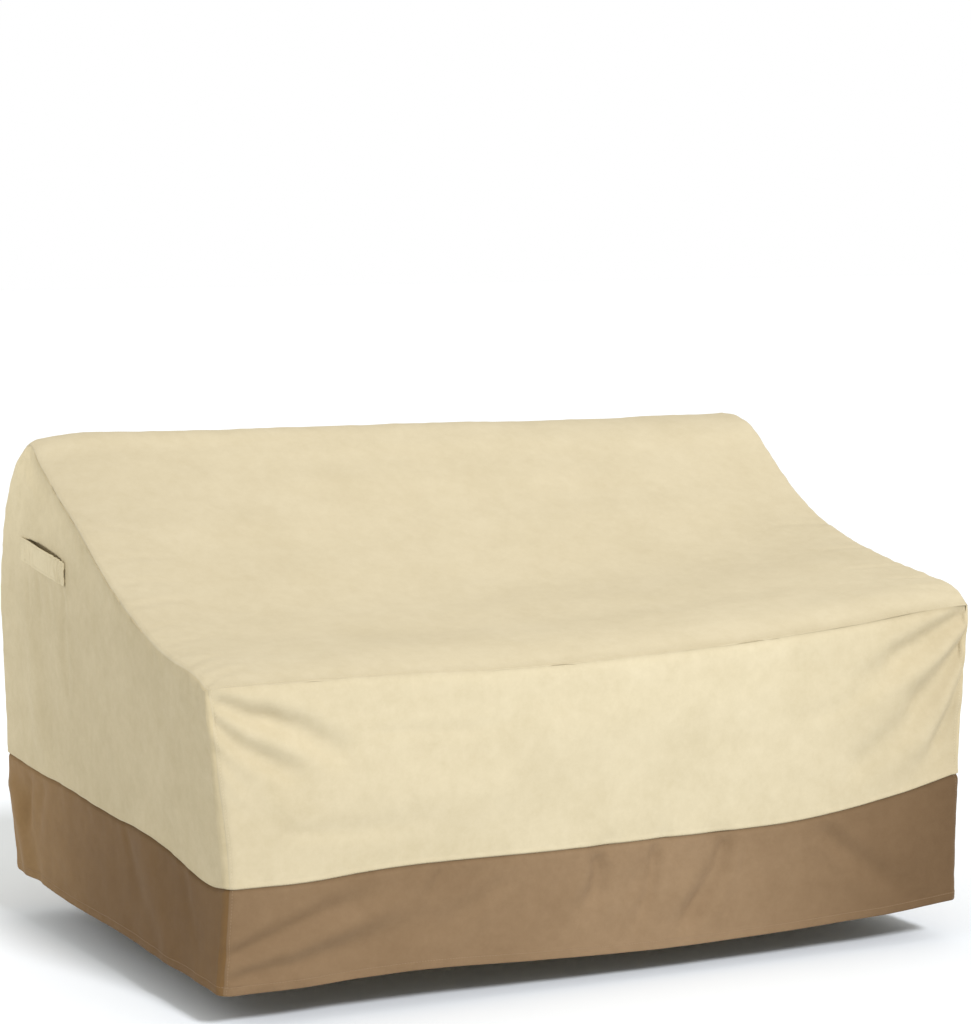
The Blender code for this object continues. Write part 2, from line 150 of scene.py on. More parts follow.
WALL_ROWS = table(
    WallRow,
    (0, 18), (180, 20), (360, 20), (530, 18), (680, 15), (800, 13), (910, 11),
)
BACK_ROUND = 0.030
# From front to back: how far the side's seam lies beyond the middle of the rounding, and how flat the side panel
# runs up to it
EDGE_PLACES = (-0.473, -0.400, -0.350, -0.100, 0.150, 0.300, 0.360)
EDGE_SHIFT = (0.0, 0.0018, 0.0030, 0.0045, 0.0038, 0.0014, 0.0)
EDGE_FLAT = (0.0, 0.8, 1.0, 1.0, 1.0, 1.0, 0.0)
EDGE_REACH = 0.050
# Keeps the strip's part of a tight rounding below a right angle
LEAST_COSINE = 0.15

FRONT = Vector((0, -1, 0))
LEFT = Vector((-1, 0, 0))
RIGHT = Vector((1, 0, 0))
BACK = Vector((0, 1, 0))
UP = Vector((0, 0, 1))
# Main folds: half width, height (a trough's is < 0), and their two ends on the wall
MAIN_FOLDS = (
    *on_one_wall(
        Fold, FRONT,
        (18, -4, -690, 441, -590, 412), (22, -6, -600, 414, -480, 352), (18, -5.5, -690, 416, -565, 330),
        (12, 1.5, -660, 420, -530, 350), (22, 3, -660, 330, -560, 270), (16, -5, 695, 500, 550, 440),
        (20, -6, 695, 453, 600, 358), (26, -6, 605, 362, 485, 256), (18, 3, 680, 458, 560, 388),
        (18, -4.5, 700, 405, 646, 285), (20, 2.5, 684, 400, 590, 275), (16, -3, 700, 320, 660, 250),
        (50, 4, -480, 290, -200, 275), (60, 4, -100, 350, 300, 400), (20, -5, 101, 155, 55, 91),
        (22, -6, 208, 149, 160, 30), (20, -4, -5, 158, -14, 90), (24, 5, -400, 104, -560, 45),
        (24, -4, -330, 75, -480, 20),
    ),
    *on_one_wall(
        Fold, LEFT,
        (20, 6, 430, 165, 380, 30), (24, -4, 380, 160, 330, 20), (40, 4, -150, 160, -260, 30),
        (16, -3, 145, 500, 135, 380), (30, 4, 300, 440, 290, 280),
    ),
    *on_one_wall(
        Fold, RIGHT,
        (22, 5, 420, 170, 370, 20), (35, -4, -100, 170, -180, 30), (16, -3, 145, 500, 135, 380),
    ),
    *on_one_wall(
        Fold, BACK,
        (40, 5, -300, 420, -380, 120), (45, -4, 150, 400, 220, 60),
    ),
)
# Softer unevenness that the part's source leaves out, such as the hollow where the seat meets the back
SOFT_FOLDS = (
    *on_one_wall(
        Fold, UP,
        (100, -7.5, -520, -170, 440, -100), (60, -4, -420, 0, -100, 60), (70, 4, 120, 20, 480, 90),
        (30, 2.2, -250, 170, 450, 150), (22, -1.8, -450, 225, 300, 215), (50, 3, -350, -370, 400, -350),
    ),
    *on_one_wall(
        Fold, FRONT,
        (60, -8.5, 670, 270, 550, 195),
    ),
    *on_one_wall(
        Fold, LEFT,
        (60, 4, -380, 420, -300, 280), (40, -3, 250, 420, 220, 260),
    ),
)

# Carry handles
HANDLE_FRONT = 0.130
HANDLE_BACK = 0.340
HANDLE_LOW = 0.555
HANDLE_RISE = 0.023
HANDLE_WIDTH = 0.040
HANDLE_SEWN = 0.028
HANDLE_BOW = 0.012

# ---- sizes of the looks

CLOTH = 0.0011
STRAP = 0.0016
SKIN_STEP = 0.0050
TOP_STEP = 0.0078
WALL_STEP = 0.0068
SLOPE_STEP = 0.0090
# Distances from a seam and from the hem at which the cloth has its first rows and columns
SEAM_ROWS = (0.0, 0.0011, 0.0023, 0.0038, 0.0056, 0.0078, 0.0105, 0.0140, 0.0185, 0.0240)
HEM_ROWS = (0.0, 0.0020, 0.0042, 0.0066, 0.0090, 0.0114, 0.0138, 0.0162, 0.0190, 0.0230, 0.0280)
SEAM_COLUMNS = (0.0, 0.0020, 0.0044, 0.0072, 0.0105, 0.0145)
TURNS = (1.0, 0.95, 0.88, 0.79, 0.67, 0.53, 0.37, 0.19, 0.0)

PANELS = (
    "top_panel", "front_panel", "back_panel", "side_panel_left", "side_panel_right",
    "band_front", "band_back", "band_left", "band_right",
)


def lerp(a, b, share):
    """Straight mix of two numbers or vectors."""
    return a + (b - a) * share


def smooth(low, high, value):
    """0 below low, 1 above high, and a smooth rise between them."""
    t = np.clip((value - low) / (high - low), 0, 1)
    return t * t * (3 - 2 * t)


def run_along(lines):
    """Distance of each point from the start of its line; the lines run along the first axis."""
    run = np.zeros(lines.shape[:-1])
    run[1:] = np.cumsum(np.linalg.norm(np.diff(lines, axis=0), axis=-1), axis=0)
    return run


def grid_quads(numbers, flip=False):
    """Quads over a grid of point numbers."""
    a, b, c, d = numbers[:-1, :-1], numbers[:-1, 1:], numbers[1:, 1:], numbers[1:, :-1]
    return np.stack((d, c, b, a) if flip else (a, b, c, d), -1).reshape(-1, 4)


def read(rows, place, column):
    """Value of a table's column at a place in its first column, on a smooth curve through the rows."""
    places = [row[0] for row in rows]
    values = [getattr(row, column) for row in rows]
    last = len(rows) - 1
    if place <= places[0]:
        return values[0]
    if place >= places[last]:
        return values[last]
    k = 0
    while place > places[k + 1]:
        k += 1

    def slope(i):
        low = max(i - 1, 0)
        high = min(i + 1, last)
        return (values[high] - values[low]) / (places[high] - places[low])

    step = places[k + 1] - places[k]
    t = (place - places[k]) / step
    start = values[k] * (1 + 2 * t) * (1 - t) ** 2 + slope(k) * step * t * (1 - t) ** 2
    end = values[k + 1] * t * t * (3 - 2 * t) - slope(k + 1) * step * t * t * (1 - t)
    return start + end


def corner(name, level):
    """Plan position of a corner edge at a level."""
    return Vector((read(CORNERS[name], level, "x"), read(CORNERS[name], level, "y")))


def wall_x(side, y, z):
    """x of the left or right wall at a place on it."""
    front = corner("front_" + side, z)
    back = corner("back_" + side, z)
    return lerp(front.x, back.x, (y - front.y) / (back.y - front.y))


def wall_y(end, share, z):
    """y of the front or back wall at a share of its width."""
    return lerp(corner(end + "_left", z).y, corner(end + "_right", z).y, share)


def top_height(row, share):
    """Height of a row of the top at a share of the width."""
    sag = row.slack * read(SLACK, share, "part")
    rise = row.wave * read(RIDGE_WAVE, share, "rise")
    return lerp(row.left, row.right, share) - sag + rise


def wall_heights(band, share, top):
    """Heights of the rows of the front or back wall, from its hem up to its top."""
    hem = read(band, share, "hem")
    seam = read(band, share, "seam")
    heights = [lerp(hem, seam, row.share) for row in BAND_ROWS]
    heights += [lerp(seam, top, row.share) for row in WALL_ROWS]
    return heights


def section(share):
    """Outline (y, z, rounding) at a share of the width, from the front hem over the top to the back hem."""
    rows = []
    for z, row in zip(wall_heights(FRONT_BAND, share, top_height(TOP_ROWS[0], share)), BAND_ROWS + WALL_ROWS):
        rows.append((wall_y("front", share, z), z, row.rounding))
    for row in TOP_ROWS + SLOPE_ROWS:
        rows.append((row.y, top_height(row, share), lerp(row.round_left, row.round_right, share)))
    for z in reversed(wall_heights(BACK_BAND, share, BACK_TOP) + [BACK_TOP]):
        rows.append((wall_y("back", share, z), z, BACK_ROUND))
    return rows


def outward(rows, k):
    """Unit normal (y, z) of an outline at one of its rows, pointing out of the cover."""
    before = rows[max(k - 1, 0)]
    after = rows[min(k + 1, len(rows) - 1)]
    return Vector((before[1] - after[1], after[0] - before[0])).normalized()


def seam_angle(y, radius):
    """Part of the rounding, as an angle, that belongs to the strip."""
    return acos(max(cos(SEAM_ANGLE) - np.interp(y, EDGE_PLACES, EDGE_SHIFT) / radius, LEAST_COSINE))


def edge_inset(y, radius):
    """How far the side panel's edge lies in from the side wall."""
    return np.interp(y, EDGE_PLACES, EDGE_FLAT) * radius * (1 - sin(seam_angle(y, radius)))


def edge_point(side, rows, k, turn, on_strip):
    """Point on the rounded edge between the front-to-back strip and a side wall."""
    y, z, radius = rows[k]
    normal = outward(rows, k)
    seam = seam_angle(y, radius)
    angle = (seam if on_strip else pi / 2 - seam) * turn
    across = radius * (1 - sin(angle)) if on_strip else radius * (1 - cos(angle))
    down = radius * (1 - cos(angle)) if on_strip else radius * (1 - sin(angle))
    if not on_strip:
        across = lerp(across, radius * (1 - sin(seam)), np.interp(y, EDGE_PLACES, EDGE_FLAT))
    x = wall_x(side, y, z)
    x += across if side == "left" else -across
    return Vector((x, y - normal.x * down, z - normal.y * down))


# The tables' rows at the seams, from the front hem to the back hem
LOWER_FRONT = len(BAND_ROWS)
FRONT_SEAM = LOWER_FRONT + len(WALL_ROWS)
RIDGE_SEAM = FRONT_SEAM + len(TOP_ROWS) - 1
BACK_CORNER = RIDGE_SEAM + len(SLOPE_ROWS) + 1
LAST_ROW = BACK_CORNER + FRONT_SEAM

# ---- fine rows and columns


def graded(length, low, high, step):
    """Places from 0 to a length: given distances from both ends, and a step apart between them."""
    inner = length - low[-1] - high[-1]
    count = max(int(round(inner / step)), 1)
    places = list(low)
    places += [low[-1] + inner * (i + 1) / count for i in range(count - 1)]
    places += [length - gap for gap in reversed(high)]
    return np.array(places)


def through(knots, values, places, breaks=()):
    """Smooth curve through values at knots, read at places; it may bend sharply at the breaks."""
    values = np.asarray(values, float)
    knots = np.asarray(knots, float)
    k = np.clip(np.searchsorted(knots, places, side="right") - 1, 0, len(knots) - 2)
    last = len(knots) - 1

    def slopes(i, forward):
        low = np.maximum(i - 1, 0)
        high = np.minimum(i + 1, last)
        sharp = np.isin(i, breaks)
        if forward:
            low = np.where(sharp, i, low)
        else:
            high = np.where(sharp, i, high)
        gap = (knots[high] - knots[low]).reshape(-1, *[1] * (values.ndim - 1))
        return (values[high] - values[low]) / gap

    shape = (-1, *[1] * (values.ndim - 1))
    step = (knots[k + 1] - knots[k]).reshape(shape)
    t = ((places - knots[k]) / (knots[k + 1] - knots[k])).reshape(shape)
    start = values[k] * (1 + 2 * t) * (1 - t) ** 2 + slopes(k, True) * step * t * (1 - t) ** 2
    end = values[k + 1] * t * t * (3 - 2 * t) - slopes(k + 1, False) * step * t * t * (1 - t)
    return start + end


def fine_rows(lengths):
    """Fine rows as places along the outline, mirrored on the front and the back walls, with its seams' numbers."""
    band = graded(lengths[LOWER_FRONT], HEM_ROWS, SEAM_ROWS, WALL_STEP)
    wall = graded(lengths[FRONT_SEAM] - lengths[LOWER_FRONT], SEAM_ROWS, SEAM_ROWS, WALL_STEP)
    front = np.concatenate([band, lengths[LOWER_FRONT] + wall[1:]])
    top = graded(lengths[RIDGE_SEAM] - lengths[FRONT_SEAM], SEAM_ROWS, SEAM_ROWS, TOP_STEP)
    slope = graded(lengths[BACK_CORNER] - lengths[RIDGE_SEAM], SEAM_ROWS, (0.0,), SLOPE_STEP)
    number = np.interp(front, lengths, np.arange(len(lengths)))
    back = np.interp(LAST_ROW - number[::-1], np.arange(len(lengths)), lengths)
    places = np.concatenate([
        front, lengths[FRONT_SEAM] + top[1:], lengths[RIDGE_SEAM] + slope[1:], back[1:],
    ])
    seams = {
        "lower_front": len(band) - 1,
        "front": len(front) - 1,
        "ridge": len(front) + len(top) - 2,
        "back_corner": len(front) + len(top) + len(slope) - 3,
        "last": len(places) - 1,
    }
    seams["lower_back"] = seams["last"] - seams["lower_front"]
    return places, seams, number


# Width of the strip, by which its columns are spaced
WIDTH = 1.37
SHARES = graded(WIDTH, SEAM_COLUMNS, SEAM_COLUMNS, SKIN_STEP) / WIDTH
# The strip's panels from the front hem to the back hem, and the seam at which each one ends
STRIP_PANELS = {
    "band_front": "lower_front", "front_panel": "front", "top_panel": "ridge", "back_panel": "lower_back",
    "band_back": "last",
}


def coarse_strip():
    """Points of the strip on the tables' rows, with fine columns, and the outlines of its two ends."""
    sections = [section(share) for share in SHARES]
    ends = {"left": sections[0], "right": sections[-1]}
    net = []
    for k in range(LAST_ROW + 1):
        left = [edge_point("left", ends["left"], k, turn, True) for turn in TURNS]
        right = [edge_point("right", ends["right"], k, turn, True) for turn in reversed(TURNS)]
        line = left[:-1]
        for share, rows in zip(SHARES, sections):
            line.append(Vector((lerp(left[-1].x, right[0].x, share), rows[k][0], rows[k][1])))
        line += right[1:]
        net.append(line)
    return np.array(net, float), ends


def strip_spans(seams):
    """First and last fine row of each of the strip's panels."""
    ends = [seams[name] for name in STRIP_PANELS.values()]
    return dict(zip(STRIP_PANELS, zip([0, *ends], ends)))


def strip_panels(seams):
    """Panel number of each row of the strip's faces."""
    spans = strip_spans(seams)
    return np.concatenate([np.full(end - first, PANELS.index(name)) for name, (first, end) in spans.items()])


def side_patch(side, inner, number, seams):
    """Inner grid of a side wall between the fine points of its rim."""
    band = SIDE_BANDS[side]
    last = seams["last"]
    front_seam = inner[seams["lower_front"]]
    back_seam = inner[seams["lower_back"]]
    top = inner[seams["front"]:seams["back_corner"] + 1]
    wall_share = [row.share for row in WALL_ROWS] + [1.0]
    radii = [[getattr(row, name) for row in TOP_ROWS + SLOPE_ROWS] for name in ("y", "round_" + side)]
    shares = []
    for j in range(seams["front"] + 1):
        if j < seams["lower_front"]:
            shares.append(number[j] / LOWER_FRONT)
        else:
            shares.append(np.interp(number[j] - LOWER_FRONT, range(len(wall_share)), wall_share))
    grid = []
    for point in top:
        u = (point.y - top[0].y) / (top[-1].y - top[0].y)
        inset = edge_inset(point.y, np.interp(point.y, *radii))
        hem_z = read(band, u, "hem")
        seam = lerp(front_seam, back_seam, u)
        seam_z = read(band, u, "seam")
        edge = lerp(top[0], top[-1], u)
        column = []
        for j, share in enumerate(shares):
            across = lerp(inner[j], inner[last - j], u)
            if j < seams["lower_front"]:
                y = across.y
                z = lerp(hem_z, seam_z, share)
            else:
                y = lerp(seam.y, point.y, share) + across.y - lerp(seam.y, edge.y, share)
                z = lerp(seam_z, point.z, share) + across.z - lerp(seam.z, edge.z, share)
            near = 1 - smooth(0, EDGE_REACH, point.z - z)
            x = wall_x(side, y, z) + (inset if side == "left" else -inset) * near
            column.append(Vector((x, y, z)))
        grid.append(column)
    return np.array(grid, float)


class Skin:
    """The whole skin as welded points, quads and the panel of each quad."""

    def __init__(self):
        self.blocks = []
        self.count = 0
        self.quads = []
        self.owners = []

    def add_points(self, points):
        """Adds a block of points and gives their numbers, in the block's own layout."""
        flat = points.reshape(-1, 3)
        numbers = np.arange(self.count, self.count + len(flat)).reshape(points.shape[:-1])
        self.blocks.append(flat)
        self.count += len(flat)
        return numbers

    def add_grid(self, numbers, owners, flip=False):
        """Quads over a grid of point numbers; owners gives the panel of each quad."""
        self.quads.append(grid_quads(numbers, flip))
        self.owners.append(np.broadcast_to(owners, (numbers.shape[0] - 1, numbers.shape[1] - 1)).reshape(-1))


def build_skin():
    """Lays the skin out on fine rows and columns."""
    net, ends = coarse_strip()
    lengths = run_along(net[:, net.shape[1] // 2])
    places, seams, number = fine_rows(lengths)
    skin = Skin()
    skin.seams = seams
    strip = through(lengths, net, places, breaks=(FRONT_SEAM,))
    skin.strip = skin.add_points(strip)
    skin.add_grid(skin.strip, strip_panels(seams)[:, None])
    skin.sides = {}
    rows = np.arange(seams["last"])
    low = (rows < seams["lower_front"]) | (rows >= seams["lower_back"])
    for side in ("left", "right"):
        rings = []
        for turn in TURNS:
            ring = [edge_point(side, ends[side], k, turn, False) for k in range(LAST_ROW + 1)]
            rings.append(through(lengths, np.array(ring, float), places, breaks=(FRONT_SEAM,)))
        inner = [Vector(point) for point in rings[-1]]
        patch = skin.add_points(side_patch(side, inner, number, seams))
        rim = np.concatenate([patch[0], patch[1:-1, -1], patch[-1, ::-1]])
        between = [skin.add_points(ring) for ring in rings[1:-1]]
        border = np.stack([skin.strip[:, 0 if side == "left" else -1], *between, rim], 1)
        band = PANELS.index("band_" + side)
        wall = PANELS.index("side_panel_" + side)
        skin.add_grid(border, np.where(low, band, wall)[:, None], flip=side == "left")
        heights = np.arange(seams["front"])
        skin.add_grid(patch, np.where(heights < seams["lower_front"], band, wall), flip=side == "right")
        skin.sides[side] = {"border": border, "patch": patch}
    skin.points = np.concatenate(skin.blocks)
    skin.quads = np.concatenate(skin.quads)
    skin.owners = np.concatenate(skin.owners)
    return skin


def point_normals(points, quads):
    """Unit normal at each point, from the faces round it."""
    corners = points[quads]
    face = np.cross(corners[:, 2] - corners[:, 0], corners[:, 3] - corners[:, 1])
    normals = np.zeros_like(points)
    for i in range(4):
        np.add.at(normals, quads[:, i], face)
    return normals / np.maximum(np.linalg.norm(normals, axis=1, keepdims=True), 1e-12)


# ---- folds and seams

# Sharper creases within the folds: half width, depth, the share of it by which ridges rise beside them, and path
Crease = namedtuple("Crease", "facing half_width depth ridge path")
CREASES = (
    *on_one_wall(
        Crease, FRONT,
        (14.5, 7.8, 300, -684, 448, -627, 419, -586, 409, -545, 395, -511, 377, -440, 338),
        (11, 5.6, 350, -692, 425, -667, 396, -643, 371, -592, 345, -525, 312),
        (12, 2.6, 300, -688, 375, -645, 322, -600, 270), (6, 1, 300, -680, 330, -655, 290, -625, 250),
        (17.5, 9.8, 350, 706, 498, 640, 465, 590, 440, 539, 415, 430, 366),
        (20, 11.2, 300, 710, 468, 676, 418, 650, 384, 620, 352, 592, 318, 556, 286, 470, 220),
        (13, 8, 250, 712, 420, 686, 370, 662, 310, 636, 262, 600, 215), (8, 3, 350, 706, 360, 688, 310, 668, 260),
        (12, 1.6, 300, 560, 400, 430, 350, 300, 330), (10, 1.2, 300, -420, 380, -250, 370, -100, 390),
        (14, 2, 200, -560, 232, -420, 226, -280, 238), (15, 8, 200, -24, 146, -16, 123, -22, 90, -60, 30),
        (15, 8.8, 200, 226, 150, 209, 101, 184, 61, 110, -10), (12, 6.6, 200, 90, 146, 89, 121, 78, 75, 40, 0),
        (18, 6.2, 200, 405, 150, 484, 90, 620, 0), (11, 3.6, 250, -303, 148, -308, 133, -325, 100),
        (14, 6.6, 250, -672, 45, -597, 70, -496, 104, -330, 128),
        (13, 5, 250, -668, 12, -560, 26, -471, 45, -350, 80), (15, 2.4, 250, -180, 120, -260, 80, -380, 30),
    ),
    *on_one_wall(
        Crease, LEFT,
        (10, 1.4, 250, 268, 560, 258, 520, 250, 470), (9, 1.1, 250, 222, 560, 212, 520, 196, 475),
        (8, 1.6, 250, 150, 585, 146, 545, 136, 490), (7, 1.3, 250, 120, 600, 116, 560, 112, 520),
        (9, 1, 250, 318, 550, 310, 500, 300, 450), (11, 1.6, 200, -450, 440, -350, 400, -220, 380),
        (16, 2, 150, -75, 180, -110, 110, -200, 30), (16, 6.2, 150, 345, 195, 372, 150, 389, 86, 380, 40),
        (16, 2.8, 150, 282, 190, 312, 126, 335, 60), (15, 1.6, 150, -300, 165, -330, 100, -420, 20),
    ),
    *on_one_wall(
        Crease, RIGHT,
        (7, 1.8, 250, 268, 560, 256, 500, 245, 430), (7, 1.6, 250, 150, 560, 142, 490, 130, 400),
        (10, 2.2, 200, -460, 470, -360, 410, -200, 360), (9, 2.4, 200, -460, 400, -390, 320, -300, 260),
        (9, 2.4, 250, 380, 200, 360, 120, 330, 30),
    ),
    *on_one_wall(
        Crease, BACK,
        (10, 2.6, 200, -690, 560, -560, 500, -430, 440), (10, 2.6, 200, 690, 570, 570, 490, 470, 400),
        (9, 2, 200, 690, 500, 620, 420, 560, 330), (12, 1.8, 200, -150, 220, -180, 140, -160, 60),
        (12, 1.8, 200, 350, 210, 320, 130, 340, 50),
    ),
    *on_one_wall(
        Crease, UP,
        (5.5, 1.8, 350, -694, -462, -665, -440, -630, -425, -590, -418),
        (5, 1.6, 350, -696, -430, -660, -405, -620, -385), (6, 1.8, 350, -698, -395, -655, -362, -600, -340),
        (5, 1.4, 350, -700, -350, -660, -322, -625, -305), (6, 1.4, 350, -702, -290, -650, -268, -585, -255),
        (5.5, 1.4, 350, -704, -225, -650, -208, -600, -205), (7, 1.6, 350, -706, -150, -630, -132, -540, -130),
        (6, 1.4, 350, -706, -85, -640, -75, -570, -80), (7, 1.4, 350, -708, -20, -630, -12, -540, -20),
        (6, 1.2, 350, -708, 60, -650, 62, -590, 55), (6, 1.6, 350, 700, -445, 650, -420, 590, -405),
        (5.5, 1.4, 350, 702, -380, 650, -350, 600, -335), (6, 1.4, 350, 704, -280, 640, -262, 560, -255),
        (6, 1.4, 350, 706, -160, 640, -150, 570, -150), (7, 1.4, 350, 708, -30, 630, -20, 550, -28),
    ),
)

# How each kind of seam looks: the pull of its thread, its puckers, and the lap of the cloth folded under it
SeamLook = namedtuple("SeamLook", "groove groove_width pucker pucker_size pucker_reach slant seed")
SEAM_LOOKS = {
    "seat": SeamLook(0.0001, 0.0040, 0.0009, 0.030, 0.011, 0.0, 3.1),
    "ridge": SeamLook(0.0006, 0.0060, 0.0007, 0.024, 0.012, 0.0, 5.3),
    "band": SeamLook(0.0006, 0.0050, 0.0009, 0.022, 0.010, 0.4, 7.7),
    "side": SeamLook(0.0002, 0.0040, 0.0014, 0.016, 0.012, 0.8, 9.2),
    "corner": SeamLook(0.0003, 0.0070, 0.0008, 0.024, 0.012, 0.3, 11.9),
    "band_corner": SeamLook(0.0003, 0.0060, 0.0010, 0.018, 0.010, 0.3, 13.4),
    "hem": SeamLook(0.0, 0.0050, 0.0010, 0.014, 0.007, 0.3, 15.8),
}
SIDES = ("side_panel_left", "side_panel_right")
SHORT_BANDS = ("band_left", "band_right")
SHELL_PANELS = ("front_panel", "back_panel", *SIDES)
BANDS = ("band_front", "band_back", *SHORT_BANDS)
# At each kind of seam: the panels whose edge lies on top, the ones beneath, how far from the seam it is stitched
# down, how much it stands up, how deep the cloth beneath is drawn in, over which reach, how far from the seam, and
# whether the upper cloth goes down with it
Lap = namedtuple("Lap", "over under stitched lift pull reach drop soft", defaults=(0.0, False))
LAPS = {
    "seat": Lap(("top_panel",), ("front_panel",), 0.0050, 0.0002, 0.0020, 0.0075, 0.0022, True),
    "ridge": Lap(("top_panel",), ("back_panel",), 0.0050, 0.0008, 0.0008, 0.0055),
    "band": Lap(SHELL_PANELS, BANDS, 0.0045, 0.0011, 0.0024, 0.0040),
    "side": Lap(("top_panel", "back_panel"), SIDES, 0.0055, 0.0003, 0.0010, 0.0030),
    "corner": Lap(("front_panel", "back_panel"), SIDES, 0.0055, 0.0002, 0.0003, 0.0055),
    "band_corner": Lap(("band_front", "band_back"), SHORT_BANDS, 0.0055, 0.0003, 0.0004, 0.0055),
    "hem": Lap(BANDS, (), 0.0125, 0.0006, 0.0, 0.0055),
}
# How strongly the seam on the seat's front edge shows, from left to right
SEAT_PLACES = (-0.70, -0.60, -0.48, -0.30, -0.10, 0.15, 0.40, 0.58, 0.71)
SEAT_STRENGTH = (0.32, 0.38, 0.48, 0.58, 0.70, 1.05, 1.40, 1.55, 1.00)
# The same for the seams on the sides, from front to back
SIDE_PLACES = (-0.47, -0.20, 0.00, 0.15, 0.31)
SIDE_STRENGTH = (0.25, 0.30, 0.70, 1.00, 1.00)
# Painted shade along a seam, darkening the cloth's colour as if in the seam's shadow: amount and reach on the
# panels above and beneath, and along the sides its strength from front to back
SeamShadePaint = namedtuple("SeamShadePaint", "over under")
PAINTED_SEAM_SHADE = {
    "seat": SeamShadePaint((0.48, 0.0140), (0.40, 0.0055)),
    "side": SeamShadePaint((0.0, 0.01), (0.55, 0.0170)),
    "band": SeamShadePaint((0.0, 0.01), (0.90, 0.0040)),
    "ridge": SeamShadePaint((0.25, 0.0060), (0.25, 0.0060)),
}
PAINTED_SHADE_PLACES = (-0.47, -0.25, -0.05, 0.08, 0.28, 0.33)
PAINTED_SHADE_STRENGTH = (0.0, 0.15, 0.70, 1.00, 1.00, 0.5)
# Shares of its length over which a crease rises and fades, its width at the start and how much it gains, and where
# its ridges lie and how wide they are, all three as shares of its half width
CREASE_RISE = (-0.06, 0.08)
CREASE_FADE = (0.5, 1.0)
CREASE_WIDTH = 0.75
CREASE_GAIN = 0.6
RIDGE_PLACE = 2.0
RIDGE_WIDTH = 0.9
# How unevenly the seams show: share of their strength, size of the waves and seed
SEAM_GRAIN = (0.12, 0.05, 61.0)
# Beyond its stitches a folded edge ends between two distances, and stitches draw the cloth in, over a reach
EDGE_END = (0.0005, 0.0035)
STITCH_PULL = 0.0005
STITCH_REACH = 0.0012
# Puckers start a share of their reach from the seam, fade within some times their reach, and may slant this way
PUCKER_START = 0.25
PUCKERED = 5
PUCKER_SLANT = np.array((0.5, 0.6, 0.6))
# Unevenness of all the cloth: height, size of the waves and seed, and how much rougher it is on the sides
BROAD_GRAIN = (0.0016, 0.15, 21.0)
MIDDLE_GRAIN = (0.0008, 0.05, 33.0)
FINE_GRAIN = (0.00024, 0.016, 47.0)
SIDE_ROUGHNESS = 0.7
# Distance of a point that is near nothing
FAR = 9.0


def on_wall(points, facing):
    """Places on a wall by the way it faces: back and up, right and up, or right and back on the top."""
    if abs(facing[0]) > 0.5:
        return points[:, [1, 2]]
    return points[:, [0, 2]] if abs(facing[1]) > 0.5 else points[:, [0, 1]]


def fold_relief(points, normals, fold):
    """Relief of one soft straight fold."""
    flat = on_wall(points, fold.facing)
    start, end = (np.array(place) for place in fold.path)
    run = end - start
    along = np.clip(((flat - start) @ run) / (run @ run), 0, 1)
    off = np.linalg.norm(flat - start - along[:, None] * run, axis=1) / fold.half_width
    return fold.height * np.maximum(normals @ np.array(fold.facing), 0) * np.exp(-off * off)


def crease_relief(points, normals, crease):
    """Relief of one crease: a trough along its path that widens and fades, with a low ridge on each side."""
    flat = on_wall(points, crease.facing)
    path = np.array(crease.path)
    starts = run_along(path)
    best = np.full(len(flat), FAR)
    place = np.zeros(len(flat))
    for begin, end, before, after in zip(path[:-1], path[1:], starts[:-1], starts[1:]):
        run = end - begin
        along = np.clip(((flat - begin) @ run) / (run @ run), 0, 1)
        off = np.linalg.norm(flat - begin - along[:, None] * run, axis=1)
        closer = off < best
        best = np.where(closer, off, best)
        place = np.where(closer, lerp(before, after, along), place)
    share = place / starts[-1]
    strength = smooth(*CREASE_RISE, share) * (1 - smooth(*CREASE_FADE, share))
    off = best / (crease.half_width * (CREASE_WIDTH + CREASE_GAIN * share))
    shape = np.exp(-off * off) - crease.ridge * np.exp(-(((off - RIDGE_PLACE) / RIDGE_WIDTH) ** 2))
    return -crease.depth * strength * shape * np.maximum(normals @ np.array(crease.facing), 0)


def seam_lines(skin):
    """Numbers of the points on each kind of seam."""
    seams = skin.seams
    low = seams["lower_front"]
    high = seams["lower_back"]
    lines = {
        "seat": [skin.strip[seams["front"]]], "ridge": [skin.strip[seams["ridge"]]],
        "band": [skin.strip[low], skin.strip[high]], "hem": [skin.strip[0], skin.strip[-1]],
        "side": [], "corner": [], "band_corner": [],
    }
    for side in skin.sides.values():
        patch, border = side["patch"], side["border"]
        lines["band"] += [patch[:, low], border[low], border[high]]
        lines["hem"] += [patch[:, 0], border[0], border[-1]]
        lines["side"].append(border[seams["front"]:seams["back_corner"] + 1, 0])
        lines["corner"] += [border[low:seams["front"] + 1, 0], border[seams["back_corner"]:high + 1, 0]]
        lines["band_corner"] += [border[:low + 1, 0], border[high:, 0]]
    return {name: np.unique(np.concatenate(numbers)) for name, numbers in lines.items()}


def nearest(points, line, reach):
    """Distance from each point to a line of points, and the nearest point on it, within a reach."""
    tree = KDTree(len(line))
    for i, point in enumerate(line):
        tree.insert(point, i)
    tree.balance()
    low = line.min(0) - reach
    high = line.max(0) + reach
    distance = np.full(len(points), FAR)
    foot = np.zeros(len(points), int)
    for i in np.flatnonzero(((points > low) & (points < high)).all(1)):
        _, foot[i], distance[i] = tree.find(points[i])
    return distance, line[foot]


def grain(place, size, seed):
    """Smooth noise from -1 to 1 at a place, with waves of about a size."""
    return noise.noise(Vector(place) / size + Vector((seed, seed * 1.7, -seed)))


